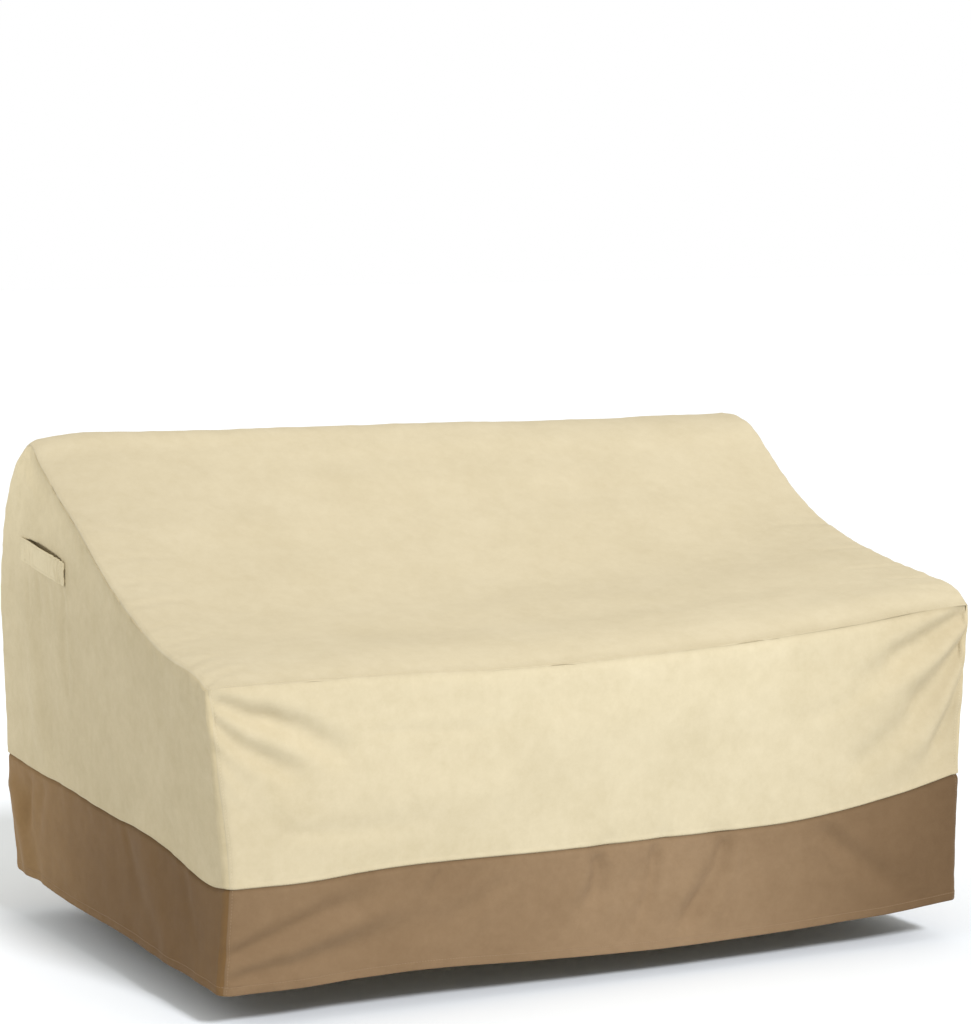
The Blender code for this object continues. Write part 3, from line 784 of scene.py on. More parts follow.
def relief(skin, points, normals):
    """Height of every fold and pucker over the smooth skin, and each point's distance from each kind of seam."""
    height = np.zeros(len(points))
    for fold in MAIN_FOLDS + SOFT_FOLDS:
        height += fold_relief(points, normals, fold)
    for crease in CREASES:
        height += crease_relief(points, normals, crease)
    distances = {}
    for name, numbers in seam_lines(skin).items():
        look = SEAM_LOOKS[name]
        distance, foot = nearest(points, points[numbers], look.pucker_reach * PUCKERED)
        distances[name] = distance
        height -= look.groove * np.exp(-(distance / look.groove_width) ** 2)
        slant = PUCKER_SLANT * look.slant
        for i in np.flatnonzero(distance < look.pucker_reach * PUCKERED):
            share = distance[i] / look.pucker_reach + PUCKER_START
            place = foot[i] + slant * distance[i]
            height[i] += look.pucker * share * np.exp(1 - share) * grain(place, look.pucker_size, look.seed)
    for i, point in enumerate(points):
        rough = 1 + SIDE_ROUGHNESS * abs(normals[i, 0])
        broad, middle, fine = (
            amount * grain(point, *wave) for amount, *wave in (BROAD_GRAIN, MIDDLE_GRAIN, FINE_GRAIN)
        )
        height[i] += broad + rough * middle
        height[i] += rough * fine
    return height, distances


def lap_relief(name, distances, points):
    """Height of one panel's sewn edges: raised where its edge is folded under, and drawn in at the seam."""
    lift = np.zeros(len(points))
    pull = np.zeros(len(points))
    amount, *wave = SEAM_GRAIN
    uneven = np.array([1 + amount * grain(point, *wave) for point in points])
    strengths = {
        "seat": np.interp(points[:, 0], SEAT_PLACES, SEAT_STRENGTH) * uneven,
        "side": np.interp(points[:, 1], SIDE_PLACES, SIDE_STRENGTH) * uneven,
    }
    for seam, lap in LAPS.items():
        d = distances[seam]
        strength = strengths.get(seam, 1.0)
        if name in lap.over:
            first, last = (lap.stitched + beyond for beyond in EDGE_END)
            raised = strength * lap.lift * (1 - smooth(first, last, d))
            if seam != "hem":
                raised -= (raised + (0 if lap.soft else strength * lap.pull)) * np.exp(-(d / STITCH_REACH) ** 2)
            if lap.soft:
                raised -= strength * lap.pull * np.exp(-((d + lap.drop) / lap.reach) ** 2)
            lift = np.where(np.abs(raised) > np.abs(lift), raised, lift)
            pull = np.maximum(pull, STITCH_PULL * np.exp(-((d - lap.stitched) / STITCH_REACH) ** 2))
        elif name in lap.under:
            pull = np.maximum(pull, strength * lap.pull * np.exp(-((d - lap.drop) / lap.reach) ** 2))
    return lift - pull


# ---- cloth behind the handles

# How many fine rows there are behind a handle to each row elsewhere, and how far beyond it: in front of and behind
# it, below, and above its lower edge
FINER = 4
FINE_BESIDE = 0.02
FINE_BELOW = 0.01
FINE_ABOVE = 0.090
# How much a handle's upper edge bows up
STRAP_RISE = 0.002
# The slit for the hand: its height, by the share of the handle's length, and how far the panel gives way
SLIT_HEIGHT = 0.0036
SLIT_PLACES = (0.12, 0.34, 0.60, 0.80, 0.88)
SLIT_SHARES = (0.0, 0.45, 1.0, 0.7, 0.0)
SLIT_DEPTH = 0.013
# Where the panel starts to give way: from the slit's upper edge, from the handle's, and at the handle's two ends
SLIT_TOP = (-0.0012, 0.0022)
SLIT_FOOT = (0.036, 0.020)
SLIT_START = (0.08, 0.18)
SLIT_END = (0.84, 0.93)


def strap_top(along):
    """Height of a handle's upper edge at a share of its length."""
    return HANDLE_LOW + HANDLE_RISE * along + HANDLE_WIDTH + STRAP_RISE * np.sin(pi * np.clip(along, 0, 1))


def behind_handle(places):
    """How far a side panel gives way behind its handle, by places back and up, which leaves a slit for the hand."""
    along = (places[..., 0] - HANDLE_FRONT) / (HANDLE_BACK - HANDLE_FRONT)
    edge = strap_top(along)
    slit = SLIT_HEIGHT * np.interp(along, SLIT_PLACES, SLIT_SHARES)
    below = smooth(*SLIT_TOP, edge + slit - places[..., 1])
    above = smooth(*(edge - down for down in SLIT_FOOT), places[..., 1])
    within = smooth(*SLIT_START, along) * (1 - smooth(*SLIT_END, along))
    return SLIT_DEPTH * below * above * within


def fine_steps(count, first, last):
    """Places on a count of rows, with FINER steps to each step from the first to the last of some."""
    return np.concatenate([np.arange(first), np.arange(first * FINER, last * FINER) / FINER, np.arange(last, count)])


def paint_seam_shade(name, distances, points):
    """How much painted shade darkens one panel's colour along its seams, from 0 to 1."""
    seam_shade_paint = np.zeros(len(points))
    for seam, look in PAINTED_SEAM_SHADE.items():
        amount, reach = look.over if name in LAPS[seam].over else look.under
        if amount and name in (*LAPS[seam].over, *LAPS[seam].under):
            shade = amount * np.exp(-(distances[seam] / reach) ** 2)
            if seam == "seat":
                shade = shade * np.interp(points[:, 0], SEAT_PLACES, SEAT_STRENGTH)
            elif seam == "side":
                shade = shade * np.interp(points[:, 1], PAINTED_SHADE_PLACES, PAINTED_SHADE_STRENGTH)
            seam_shade_paint = np.maximum(seam_shade_paint, shade)
    return np.minimum(seam_shade_paint, 1)


def with_slit(skin, side, points, uv):
    """A side panel's points, quads and places on the cloth, with finer rows and columns behind its handle."""
    seams = skin.seams
    low = seams["lower_front"]
    patch = skin.sides[side]["patch"][:, low:]
    border = skin.sides[side]["border"][low:seams["lower_back"] + 1, :-1]
    places = skin.points[patch][..., 1:]
    inside = (places > (HANDLE_FRONT - FINE_BESIDE, HANDLE_LOW - FINE_BELOW)).all(-1)
    inside &= (places < (HANDLE_BACK + FINE_BESIDE, HANDLE_LOW + FINE_ABOVE)).all(-1)
    columns = np.flatnonzero(inside.any(1))
    rows = np.flatnonzero(inside.any(0))
    across = fine_steps(len(patch), columns[0], columns[-1])
    up = fine_steps(patch.shape[1], rows[0], rows[-1])
    end = len(border) - 1
    round_edge = np.concatenate([up, patch.shape[1] - 1 + across[1:], end - up[::-1][1:]])
    sheets = []
    for values in (points, uv):
        wall = through(np.arange(len(patch)), values[patch], across)
        wall = np.swapaxes(through(np.arange(patch.shape[1]), np.swapaxes(wall, 0, 1), up), 0, 1)
        edge = through(np.arange(end + 1), values[border], round_edge, breaks=(patch.shape[1] - 1,))
        sheets.append((wall, edge))
    wall = sheets[0][0]
    wall[..., 0] += (1 if side == "left" else -1) * behind_handle(wall[..., 1:])
    numbers = np.arange(wall[..., 0].size).reshape(wall.shape[:2])
    rim = np.concatenate([numbers[0], numbers[1:, -1], numbers[-1, ::-1][1:]])
    rings = numbers.size + np.arange(len(round_edge) * border.shape[1]).reshape(len(round_edge), -1)
    rings = np.concatenate([rings, rim[:, None]], 1)
    quads = np.concatenate([grid_quads(numbers, side == "right"), grid_quads(rings, side == "left")])
    joined = [np.concatenate([part.reshape(-1, part.shape[-1]) for part in sheet]) for sheet in sheets]
    return joined[0], quads, joined[1]


# ---- materials


MULTIPLY = {"data_type": "RGBA", "blend_type": "MULTIPLY"}
# A wave texture of scale 1 has a wave in this length
WAVE_LENGTH = 0.314
# Painted light and shade on the cloth along one axis of the part, for how the light falls there: places in metres,
# the brightness painted there, and how much warmer it gets where it is darker
PaintedShading = namedtuple("PaintedShading", "axis places values warmth", defaults=(1.0,))
# Exponents by which painted shade that is as warm as can be dims green and blue more than red
WARM_GREEN = 0.2
WARM_BLUE = 0.5
# Colour by which the cloth is multiplied where the painted shade along its seams is full
SEAM_SHADE_COLOUR = (0.78, 0.765, 0.73, 1)


def set_inputs(tree, node, inputs):
    """Sets a node's inputs, each to a value or to another node's output."""
    for name, value in inputs.items():
        if isinstance(value, bpy.types.NodeSocket):
            tree.links.new(value, node.inputs[name])
        else:
            node.inputs[name].default_value = value


def add_node(tree, kind, inputs=(), **settings):
    """New shader node with its settings and its inputs."""
    node = tree.nodes.new("ShaderNode" + kind)
    for name, value in settings.items():
        setattr(node, name, value)
    set_inputs(tree, node, dict(inputs))
    return node


def mixed(tree, factor, a, b, **settings):
    """Mix of two values, or of two colours by its settings."""
    return add_node(tree, "Mix", {"Factor": factor, "A": a, "B": b}, **settings).outputs["Result"]


def noise_over(tree, place, scale, detail, rough=0.6):
    """Noise over some coordinates."""
    inputs = {"Vector": place, "Scale": scale, "Detail": detail, "Roughness": rough}
    return add_node(tree, "TexNoise", inputs).outputs["Fac"]


def new_material(name):
    """New node material, its tree, its shader and its coordinates."""
    material = bpy.data.materials.new(name)
    material.use_nodes = True
    tree = material.node_tree
    return material, tree, tree.nodes["Principled BSDF"], add_node(tree, "TexCoord").outputs


def with_painted_shading(tree, colour, place, shading):
    """Colour with painted light and shade along an axis."""
    parts = add_node(tree, "SeparateXYZ", {"Vector": place})
    span = shading.places[-1] - shading.places[0]
    reach = add_node(tree, "MapRange", {
        "From Min": shading.places[0], "From Max": shading.places[-1], "Value": parts.outputs[shading.axis],
    })
    ramp = add_node(tree, "ValToRGB", {"Fac": reach.outputs["Result"]})
    ramp.color_ramp.interpolation = "B_SPLINE"
    stops = ramp.color_ramp.elements
    while len(stops) < len(shading.places):
        stops.new(0.5)
    for stop, at, value in zip(stops, shading.places, shading.values):
        stop.position = (at - shading.places[0]) / span
        stop.color = (
            value, value ** (1 + WARM_GREEN * shading.warmth), value ** (1 + WARM_BLUE * shading.warmth), 1,
        )
    return mixed(tree, 1.0, colour, ramp.outputs["Color"], **MULTIPLY)


def cloth_material(name, colour, shade, shadings=(), thread=0.0006):
    """Coated plain weave: fine threads, soft mottling, faint crinkles, a little sheen, and painted light and shade.
    """
    material, tree, shader, places = new_material(name)
    flat, place = places["UV"], places["Object"]
    waves = [
        add_node(tree, "TexWave", {"Vector": flat, "Scale": WAVE_LENGTH / thread}, bands_direction=axis)
        for axis in "XY"
    ]
    checker = add_node(tree, "TexChecker", {"Vector": flat, "Scale": 1 / thread})
    weave = mixed(tree, checker.outputs["Fac"], *(wave.outputs["Fac"] for wave in waves))
    broad = noise_over(tree, place, 9.0, 3.0)
    mottle = noise_over(tree, place, 46.0, 7.0, 0.78)
    spread = add_node(tree, "MapRange", {
        "From Min": 0.36, "From Max": 0.64, "Value": mixed(tree, 0.55, broad, mottle),
    })
    dye = mixed(tree, spread.outputs["Result"], (*shade, 1), (*colour, 1), data_type="RGBA")
    # Painted light and shade along the part's axes
    for shading in shadings:
        dye = with_painted_shading(tree, dye, place, shading)
    # Painted shade along the seams, read from an attribute of the mesh
    seams = add_node(tree, "Attribute", attribute_name="seam_shade_paint")
    crinkles = add_node(tree, "Bump", {
        "Strength": 0.3, "Distance": 0.0012, "Height": noise_over(tree, place, 60.0, 4.0),
    })
    threads = add_node(tree, "Bump", {
        "Strength": 0.4, "Distance": 0.00015, "Height": weave, "Normal": crinkles.outputs["Normal"],
    })
    set_inputs(tree, shader, {
        "Base Color": mixed(tree, seams.outputs["Fac"], dye, SEAM_SHADE_COLOUR, **MULTIPLY),
        "Normal": threads.outputs["Normal"], "Roughness": 0.72, "Specular IOR Level": 0.16,
        "Sheen Weight": 0.03, "Sheen Roughness": 0.5,
    })
    return material


def thread_material(name, colour, shade):
    """Sewing thread: twisted strands, a little shinier than the cloth."""
    material, tree, shader, places = new_material(name)
    strands = noise_over(tree, places["Object"], 900.0, 2.0)
    bump = add_node(tree, "Bump", {"Strength": 0.5, "Distance": 0.0001, "Height": strands})
    set_inputs(tree, shader, {
        "Base Color": mixed(tree, strands, (*shade, 1), (*colour, 1), data_type="RGBA"),
        "Normal": bump.outputs["Normal"], "Roughness": 0.5,
    })
    return material


def floor_material():
    """Pale studio floor with a trace of unevenness."""
    material, tree, shader, places = new_material("pale_floor")
    cloud = noise_over(tree, places["Object"], 1.5, 2.0)
    set_inputs(tree, shader, {
        "Base Color": mixed(tree, cloud, (0.86, 0.90, 0.96, 1), (0.89, 0.93, 0.99, 1), data_type="RGBA"),
        "Roughness": 0.9, "Specular IOR Level": 0.1,
    })
    return material


# ---- objects


def to_origin(points):
    """Moves points from the tables' frame to the part's own frame."""
    return points - np.array((0, RIDGE_Y, RIDGE_UNDERSIDE))


def add_object(name, data):
    """Puts data into the scene as an object."""
    obj = bpy.data.objects.new(name, data)
    bpy.context.scene.collection.objects.link(obj)
    return obj


def new_object(name, points, faces, material, uv=None):
    """Mesh object from points, faces and for each point a place on the cloth, with the painted seam shade there."""
    mesh = bpy.data.meshes.new(name)
    mesh.from_pydata(to_origin(points).tolist(), [], [list(face) for face in faces])
    if uv is not None:
        layer = mesh.uv_layers.new(name="cloth")
        corner_points = np.empty(len(mesh.loops), np.int32)
        mesh.loops.foreach_get("vertex_index", corner_points)
        layer.data.foreach_set("uv", uv[corner_points, :2].astype(np.float32).ravel())
        # A third column holds the painted shade along the seams
        if uv.shape[1] > 2:
            mesh.attributes.new("seam_shade_paint", "FLOAT", "POINT").data.foreach_set("value", uv[:, 2].astype(np.float32))
    mesh.shade_smooth()
    mesh.materials.append(material)
    return add_object(name, mesh)


def sheet_object(name, points, quads, uv, material, thickness):
    """Cloth from its outer face, with an inner face and cut edges."""
    used, local = np.unique(quads, return_inverse=True)
    outer = local.reshape(quads.shape)
    points = points[used]
    count = len(points)
    inner = points - point_normals(points, outer) * thickness
    edges = np.concatenate([outer[:, [i, (i + 1) % 4]] for i in range(4)])
    keys = edges[:, 0] * count + edges[:, 1]
    rim = edges[~np.isin(keys, edges[:, 1] * count + edges[:, 0])]
    start, end = rim[:, 0], rim[:, 1]
    faces = np.concatenate([
        outer, outer[:, ::-1] + count, np.stack((end, start, start + count, end + count), -1),
    ])
    obj = new_object(name, np.concatenate([points, inner]), faces.tolist(), material, np.tile(uv[used], (2, 1)))
    sharp = np.concatenate([rim, rim + count])
    sharp = np.unique(sharp.min(1) * 2 * count + sharp.max(1))
    mesh = obj.data
    ends = np.empty(len(mesh.edges) * 2, np.int32)
    mesh.edges.foreach_get("vertices", ends)
    ends = ends.reshape(-1, 2).astype(np.int64)
    is_sharp = np.isin(ends.min(1) * 2 * count + ends.max(1), sharp)
    mesh.attributes.new("sharp_edge", "BOOLEAN", "EDGE").data.foreach_set("value", is_sharp)
    return obj


def cloth_places(skin, points):
    """Where each point lies on the flat cloth, in metres, for the weave."""
    uv = points[:, [0, 2]].copy()
    lines = points[skin.strip]
    uv[skin.strip, 0] = run_along(np.swapaxes(lines, 0, 1)).T
    uv[skin.strip, 1] = run_along(lines)
    for side in skin.sides.values():
        for block in (side["patch"].ravel(), side["border"][:, 1:].ravel()):
            uv[block] = points[block][:, [1, 2]]
    return uv


def side_of(name):
    """Side on which a side panel or a short band lies."""
    return name.rsplit("_", 1)[1]


def hem_line(skin, name):
    """Numbers of the points along a band's hem."""
    if name == "band_front":
        return skin.strip[0]
    if name == "band_back":
        return skin.strip[-1]
    side = skin.sides[side_of(name)]
    return np.concatenate([side["border"][0], side["patch"][1:-1, 0], side["border"][-1, ::-1]])


# How many points a lane has
LANE = 34


def lanes(skin, name, seam):
    """Lines of point numbers that run from a seam into a panel, side by side along the seam."""
    seams = skin.seams
    if name in STRIP_PANELS:
        first, end = strip_spans(seams)[name]
        if name == "back_panel":
            first = seams["back_corner"] if seam == "corner" else first
            end = seams["back_corner"] if seam == "side" else end
        span = skin.strip[first:end + 1]
        if seam in ("side", "corner", "band_corner"):
            return [span[:, :LANE], span[:, ::-1][:, :LANE]]
        at_end = seam == "ridge" or "back" in name
        return [(span[::-1] if at_end else span)[:LANE].T]
    border, patch = (skin.sides[side_of(name)][part] for part in ("border", "patch"))
    first, end = (seams["lower_front"], seams["lower_back"] + 1) if seam == "band" else (0, seams["last"] + 1)
    return [np.concatenate([
        border[first:first + LANE].T, patch[1:-1, first:first + LANE], border[end - LANE:end][::-1].T[::-1],
    ])]


def offset_line(points, normals, numbers, distance):
    """Points and normals at a distance along each lane."""
    lines = points[numbers]
    run = run_along(np.swapaxes(lines, 0, 1)).T
    k = np.clip((run < distance).sum(1) - 1, 0, numbers.shape[1] - 2)
    row = np.arange(len(numbers))
    share = (distance - run[row, k]) / np.maximum(run[row, k + 1] - run[row, k], 1e-9)
    share = np.clip(share, 0, 1)[:, None]
    place = lerp(lines[row, k], lines[row, k + 1], share)
    normal = lerp(normals[numbers[row, k]], normals[numbers[row, k + 1]], share)
    return place, normal / np.linalg.norm(normal, axis=1, keepdims=True)


# Stitches: their step and length, the thread's width and height, how deep its ends lie, and between which shares
# of its length it is full
PITCH = 0.0050
STITCH = 0.0036
THREAD_WIDTH = 0.0009
THREAD_HEIGHT = 0.0005
THREAD_SUNK = 0.00015
THREAD_FULL = (0.22, 0.78)


def stitch_row(line, normals):
    """Stitches along a line, as points and faces: short lens-shaped lengths of thread."""
    run = run_along(line)
    count = max(int(run[-1] / PITCH), 1)
    middle = (np.arange(count) + 0.5) * run[-1] / count

    def at(values, places):
        return np.stack([np.interp(places, run, values[:, i]) for i in range(3)], -1)

    half = STITCH / 2
    begin, end = at(line, middle - half), at(line, middle + half)
    up = at(normals, middle)
    along = end - begin
    side = np.cross(along, up)
    side /= np.maximum(np.linalg.norm(side, axis=1, keepdims=True), 1e-9)
    sunk = -THREAD_SUNK * up
    rings = [begin + sunk]
    for share in THREAD_FULL:
        centre = begin + along * share
        rings += [
            centre + up * THREAD_HEIGHT, centre + side * THREAD_WIDTH / 2,
            centre + 2 * sunk, centre - side * THREAD_WIDTH / 2,
        ]
    rings.append(end + sunk)
    points = np.stack(rings, 1).reshape(-1, 3)
    faces = []
    for base in range(0, len(points), len(rings)):
        for j in range(4):
            a, b = base + 1 + j, base + 1 + (j + 1) % 4
            faces += [(base, b, a), (a, b, b + 4, a + 4), (base + 9, a + 4, b + 4)]
    return points, faces


def join_rows(rows):
    """One mesh's points and faces from several rows of stitches."""
    points = np.concatenate([row[0] for row in rows])
    faces = []
    base = 0
    for row_points, row_faces in rows:
        faces += [tuple(k + base for k in face) for face in row_faces]
        base += len(row_points)
    return points, faces


# The cloth folded up inside a hem: in from the outer face and up from the hem, and its step on the flat cloth
HEM_FOLD = (
    (0.0006, -0.0009), (0.0014, -0.0011), (0.0021, -0.0006), (0.0024, 0.0004),
    (0.0025, 0.0030), (0.0025, 0.0070), (0.0025, 0.0110), (0.0024, 0.0140),
)
HEM_STEP = 0.003
UP_AXIS = np.array((0.0, 0.0, 1.0))


def with_hem(skin, name, points, normals, quads, uv):
    """Adds the cloth that is folded up inside a band's hem."""
    line = hem_line(skin, name)
    flat = normals[line] * np.array((1, 1, 0))
    flat /= np.linalg.norm(flat, axis=1, keepdims=True)
    extra = [points[line] - flat * inward + UP_AXIS * up for inward, up in HEM_FOLD]
    base = len(points)
    numbers = np.concatenate([[line], base + np.arange(len(line) * len(extra)).reshape(len(extra), -1)])
    strips = grid_quads(numbers)
    new_points = np.concatenate([points, *extra])
    first = new_points[strips[len(line) // 2]]
    face = np.cross(first[2] - first[0], first[3] - first[1])
    if face @ (flat[len(line) // 2] - UP_AXIS) < 0:
        strips = strips[:, ::-1]
    new_uv = np.concatenate([uv, *[uv[line] - (0, HEM_STEP * (i + 1), 0) for i in range(len(extra))]])
    return new_points, np.concatenate([quads, strips]), new_uv


# ---- the cloths' colours

SHELL = (0.695, 0.612, 0.425)
SHELL_SHADE = (0.635, 0.552, 0.370)
BROWN = (0.290, 0.195, 0.112)
BROWN_SHADE = (0.245, 0.160, 0.088)

# Painted light and shade on each panel, for how the light falls on it; places on each axis are in the part's own
# frame
TOP_PAINTED_SHADING = (
    PaintedShading(
        "Y", (-0.79, -0.755, -0.70, -0.62, -0.50, -0.30, -0.12, 0.05),
        (0.91, 0.92, 0.965, 0.945, 0.90, 0.875, 0.875, 0.91), 0.2,
    ),
    PaintedShading("X", (-0.70, -0.55, -0.25, 0.10, 0.70), (0.93, 0.96, 1.0, 1.0, 1.0), 0.2),
)
FRONT_PAINTED_SHADING = (
    PaintedShading(
        "X", (-0.70, -0.60, -0.42, -0.10, 0.20, 0.38, 0.52, 0.64, 0.72),
        (0.90, 0.925, 0.955, 0.995, 1.01, 0.985, 0.93, 0.87, 0.83),
    ),
    PaintedShading("Z", (-0.63, -0.55, -0.46, -0.40, -0.36, -0.33), (0.95, 0.955, 0.97, 0.99, 1.015, 1.04), 0.1),
)
SIDE_PAINTED_SHADING = (
    PaintedShading("Y", (-0.80, -0.40, -0.05, 0.10, 0.18), (0.945, 0.920, 0.937, 0.995, 1.05), 0.5),
    PaintedShading("Z", (-0.62, -0.34, -0.25, -0.18, -0.12, -0.05), (0.833, 0.833, 0.85, 0.917, 0.975, 1.0), 0.3),
)
BAND_PAINTED_SHADING = (
    PaintedShading(
        "X", (-0.70, -0.55, -0.41, -0.25, -0.10, 0.05, 0.15, 0.27, 0.39, 0.515, 0.72),
        (0.70, 0.76, 0.76, 0.77, 0.85, 0.97, 0.94, 0.85, 0.77, 0.59, 0.41), 0.8,
    ),
)
SHORT_BAND_PAINTED_SHADING = (
    PaintedShading(
        "Y", (-0.79, -0.70, -0.58, -0.40, -0.27, -0.16, -0.03, 0.08, 0.18),
        (0.64, 0.58, 0.57, 0.60, 0.66, 0.74, 0.90, 1.0, 1.0), 0.8,
    ),
)


def tinted(colour, tint):
    """Colour times a tint."""
    return tuple(value * share for value, share in zip(colour, tint))


def shaded_copy(name, colour, shade, tint, shadings=()):
    """Cloth whose two shades are tinted: darker and lighter copies of one cloth, painted shade for how light falls
    on each panel.
    """
    return cloth_material(name, tinted(colour, tint), tinted(shade, tint), shadings)


# Tints of the front and the sides: painted shade for how the light falls on them
FRONT_PAINTED_SHADE_TINT = (0.855, 0.855, 0.866)
SIDE_PAINTED_SHADE_TINT = (0.985, 0.965, 0.928)
FRONT_SHADE = tinted(SHELL_SHADE, (0.97, 0.97, 0.965))
SIDE_SHADE = tinted(SHELL_SHADE, (0.95, 0.95, 0.94))
# Each panel's cloth is a copy of one cloth, tinted darker or lighter as painted shade for how the light falls on it
CLOTHS = {
    "top_panel": shaded_copy("beige_top", SHELL, SHELL_SHADE, (0.90, 0.90, 0.92), TOP_PAINTED_SHADING),
    "front_panel": shaded_copy("beige_front", SHELL, FRONT_SHADE, FRONT_PAINTED_SHADE_TINT, FRONT_PAINTED_SHADING),
    "back_panel": shaded_copy("beige_back", SHELL, SHELL_SHADE, (0.80, 0.80, 0.81)),
    "side_panel_left": shaded_copy("beige_sides", SHELL, SIDE_SHADE, SIDE_PAINTED_SHADE_TINT, SIDE_PAINTED_SHADING),
    "band_front": shaded_copy("brown_front", BROWN, BROWN_SHADE, (0.97, 0.985, 1.01), BAND_PAINTED_SHADING),
    "band_back": shaded_copy("brown_back", BROWN, BROWN_SHADE, (0.84, 0.84, 0.86)),
    "band_left": shaded_copy("brown_sides", BROWN, BROWN_SHADE, (0.91, 0.83, 0.62), SHORT_BAND_PAINTED_SHADING),
}
CLOTHS["side_panel_right"] = CLOTHS["side_panel_left"]
CLOTHS["band_right"] = CLOTHS["band_left"]
strap_cloth = cloth_material("beige_strap", (0.650, 0.562, 0.374), (0.570, 0.488, 0.318), thread=0.0008)
shell_thread = thread_material("beige_thread", (0.60, 0.52, 0.35), (0.50, 0.43, 0.28))
band_thread = thread_material("brown_thread", (0.30, 0.205, 0.12), (0.24, 0.16, 0.09))

# A kind of row for the size a panel was cut to, with its seam allowances and hem: width, length and area (none
# for a rectangle), and how it is held and by which panel; no panel's size is given with it here
Cut = namedtuple("Cut", "width length area held rests_on")


def dress(cloth, stitching, node):
    """Lets a cloth and its stitches stand for a node of the part."""
    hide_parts(node)
    for piece in (cloth, stitching):
        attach(piece, "root")


# ---- panels and bands

skin = build_skin()
base_normals = point_normals(skin.points, skin.quads)
uv = cloth_places(skin, skin.points)
height, distances = relief(skin, skin.points, base_normals)
surfaces = {}

for name in PANELS:
    is_band = name in BANDS
    quads = skin.quads[skin.owners == PANELS.index(name)]
    lift = height + lap_relief(name, distances, skin.points)
    points = skin.points + base_normals * lift[:, None]
    normals = point_normals(points, quads)
    surfaces[name] = (points, quads)
    rows = []
    for seam, lap in LAPS.items():
        if name in lap.over:
            for numbers in lanes(skin, name, seam):
                rows.append(stitch_row(*offset_line(points, normals, numbers, lap.stitched)))
    # Places on the cloth, with the painted shade along the seams as a third column
    places = np.column_stack([uv, paint_seam_shade(name, distances, skin.points)])
    sheet = (points, quads, places)
    if is_band:
        sheet = with_hem(skin, name, points, base_normals, quads, places)
    if name in SIDES:
        sheet = with_slit(skin, side_of(name), points, places)
    panel = sheet_object("cloth_" + name, *sheet, CLOTHS[name], CLOTH)
    thread = new_object("stitches_" + name, *join_rows(rows), band_thread if is_band else shell_thread)
    dress(panel, thread, name)

# ---- handles

STRAP_COLUMNS = 130
STRAP_ROWS = 22
# How the bow rises towards the middle, and its share at the lower and at the upper edge
BOW_POWER = 1.4
BOW_SHARES = (0.18, 0.34)
# Gathers: height at the front and at the back end, how far they reach from the sewing, and their step
GATHERS = (0.0022, 0.0007)
GATHER_REACH = 0.034
GATHER_STEP = 0.0150
GATHER_MEAN = 0.8
# Unevenness of the gathers' step, of their height and of the whole strip: amount, how much it is drawn out upwards,
# size of the waves and seed
STEP_GRAIN = (4, 1.0, 0.02, 2.0)
HEIGHT_GRAIN = (0.8, 0.3, 0.018, 9.0)
STRIP_GRAIN = (0.0006, 0.2, 0.012, 6.0)
# Least room between a handle and its panel, and how far its gathers may sink, plain and as a share of the bow
HANDLE_GAP = 0.0006
HANDLE_SINK = (0.0004, 0.4)
# Rows and columns of a handle that its stitches follow
SEWN_ROWS = (2, STRAP_ROWS - 2)
SEWN_COLUMNS = (3, 13, -4, -14)


def strap_grain(y, z, amount, upwards, *wave):
    """Unevenness of a handle at a place."""
    return amount * grain((y, z * upwards, 0), *wave)


def strap_point(side, trees, along, up):
    """Point on a handle's inner face at shares of its length and its width."""
    out = -1 if side == "left" else 1
    length = HANDLE_BACK - HANDLE_FRONT
    from_end = min(along, 1 - along) * length
    free = min(max((along * length - HANDLE_SEWN) / (length - 2 * HANDLE_SEWN), 0), 1)
    arch = sin(pi * free)
    y = HANDLE_FRONT + length * along
    z = lerp(HANDLE_LOW + HANDLE_RISE * along, strap_top(along), up)
    bow = HANDLE_BOW * arch ** BOW_POWER * lerp(*BOW_SHARES, up)
    near_sewing = np.exp(-((from_end - HANDLE_SEWN) / GATHER_REACH) ** 2) if from_end > HANDLE_SEWN else 1.0
    wave = sin(2 * pi * along * length / GATHER_STEP + strap_grain(y, z, *STEP_GRAIN))
    gather = lerp(*GATHERS, along) * near_sewing * wave
    gather *= GATHER_MEAN + strap_grain(y, z, *HEIGHT_GRAIN)
    gather += strap_grain(y, z, *STRIP_GRAIN)
    smooth_wall, uneven_wall = (
        abs(tree.ray_cast(Vector((out, y, z)), Vector((-out, 0, 0)))[0].x) for tree in trees
    )
    sunk, share = HANDLE_SINK
    x = max(smooth_wall + bow + max(gather, -sunk - share * bow), uneven_wall + max(gather, 0)) + HANDLE_GAP
    return (out * x, y, z)


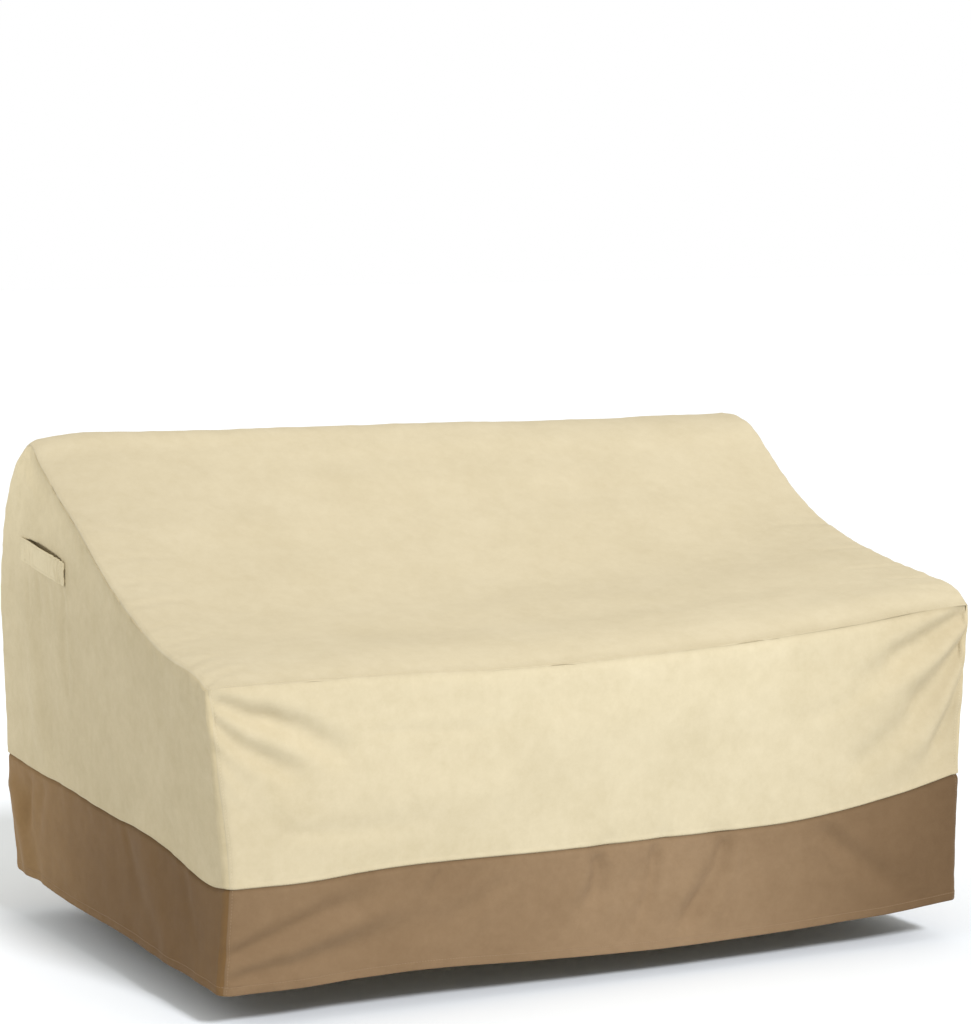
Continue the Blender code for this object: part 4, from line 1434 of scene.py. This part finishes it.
def add_handle(side):
    """Carry handle: a doubled strip sewn down at both ends, with its seams."""
    points, quads = surfaces["side_panel_" + side]
    used, local = np.unique(quads, return_inverse=True)
    faces = local.reshape(quads.shape).tolist()
    trees = [BVHTree.FromPolygons(wall[used].tolist(), faces) for wall in (skin.points, points)]
    grid = np.array([
        [strap_point(side, trees, i / STRAP_COLUMNS, j / STRAP_ROWS) for j in range(STRAP_ROWS + 1)]
        for i in range(STRAP_COLUMNS + 1)
    ])
    numbers = np.arange(grid.shape[0] * grid.shape[1]).reshape(grid.shape[:2])
    a, b, c, d = numbers[:-1, :-1], numbers[1:, :-1], numbers[1:, 1:], numbers[:-1, 1:]
    faces = np.stack((a, b, c, d) if side == "right" else (d, c, b, a), -1).reshape(-1, 4)
    flat = grid.reshape(-1, 3)
    normals = point_normals(flat, faces)
    outer = flat + normals * STRAP
    strap = sheet_object("cloth_handle_" + side, outer, faces, flat[:, [1, 2]], strap_cloth, STRAP)
    lines = [numbers[3:-3, j] for j in SEWN_ROWS] + [numbers[i, 2:-2] for i in SEWN_COLUMNS]
    rows = [stitch_row(outer[line], normals[line]) for line in lines]
    thread = new_object("stitches_handle_" + side, *join_rows(rows), shell_thread)
    dress(strap, thread, "handle_" + side)


for side in ("left", "right"):
    add_handle(side)

# ---- floor, light and camera

FLOOR = -0.854
FLOOR_REACH = 30
GLOW_PLACE = Vector((-2.2, 1.1, 0.4))
GLOW_TARGET = Vector((-0.7, 0.0, -0.3))

floor_mesh = bpy.data.meshes.new("floor")
floor_corners = [(x * FLOOR_REACH, y * FLOOR_REACH, FLOOR) for x, y in ((-1, -1), (1, -1), (1, 1), (-1, 1))]
floor_mesh.from_pydata(floor_corners, [], [(0, 1, 2, 3)])
floor_mesh.materials.append(floor_material())
add_object("floor", floor_mesh)


def add_light(kind, name, direction, place=(0, 0, 0), **settings):
    """Light that comes from one direction."""
    data = bpy.data.lights.new(name, kind)
    for setting, value in settings.items():
        setattr(data, setting, value)
    lamp = add_object(name, data)
    lamp.location = place
    lamp.rotation_euler = (-Vector(direction)).to_track_quat("-Z", "Y").to_euler()


add_light("SUN", "key", (0.06, -0.78, 0.62), energy=2.55, angle=radians(11), color=(0.99, 0.99, 1.0))
add_light("AREA", "back_glow", GLOW_PLACE - GLOW_TARGET, GLOW_PLACE, energy=9, size=0.9)

world = bpy.data.worlds.new("studio")
world.use_nodes = True
studio = world.node_tree
room = studio.nodes["Background"]
set_inputs(studio, room, {"Color": (1.0, 0.975, 0.90, 1), "Strength": 0.76})
backdrop = add_node(studio, "Background", {"Color": (1, 1, 1, 1), "Strength": 1.0})
rays = add_node(studio, "LightPath")
choice = add_node(studio, "MixShader", {
    "Fac": rays.outputs["Is Camera Ray"], 1: room.outputs["Background"], 2: backdrop.outputs["Background"],
})
set_inputs(studio, studio.nodes["World Output"], {"Surface": choice.outputs["Shader"]})
bpy.context.scene.world = world
bpy.context.scene.view_settings.view_transform = "Standard"

camera_data = bpy.data.cameras.new("camera")
camera_data.lens = 113.0
camera_data.sensor_width = 36
camera = add_object("camera", camera_data)
camera.location = (-2.498, -5.256, 0.451)
camera.rotation_euler = (radians(90 - 5.95), 0, radians(-26.95))
bpy.context.scene.camera = camera
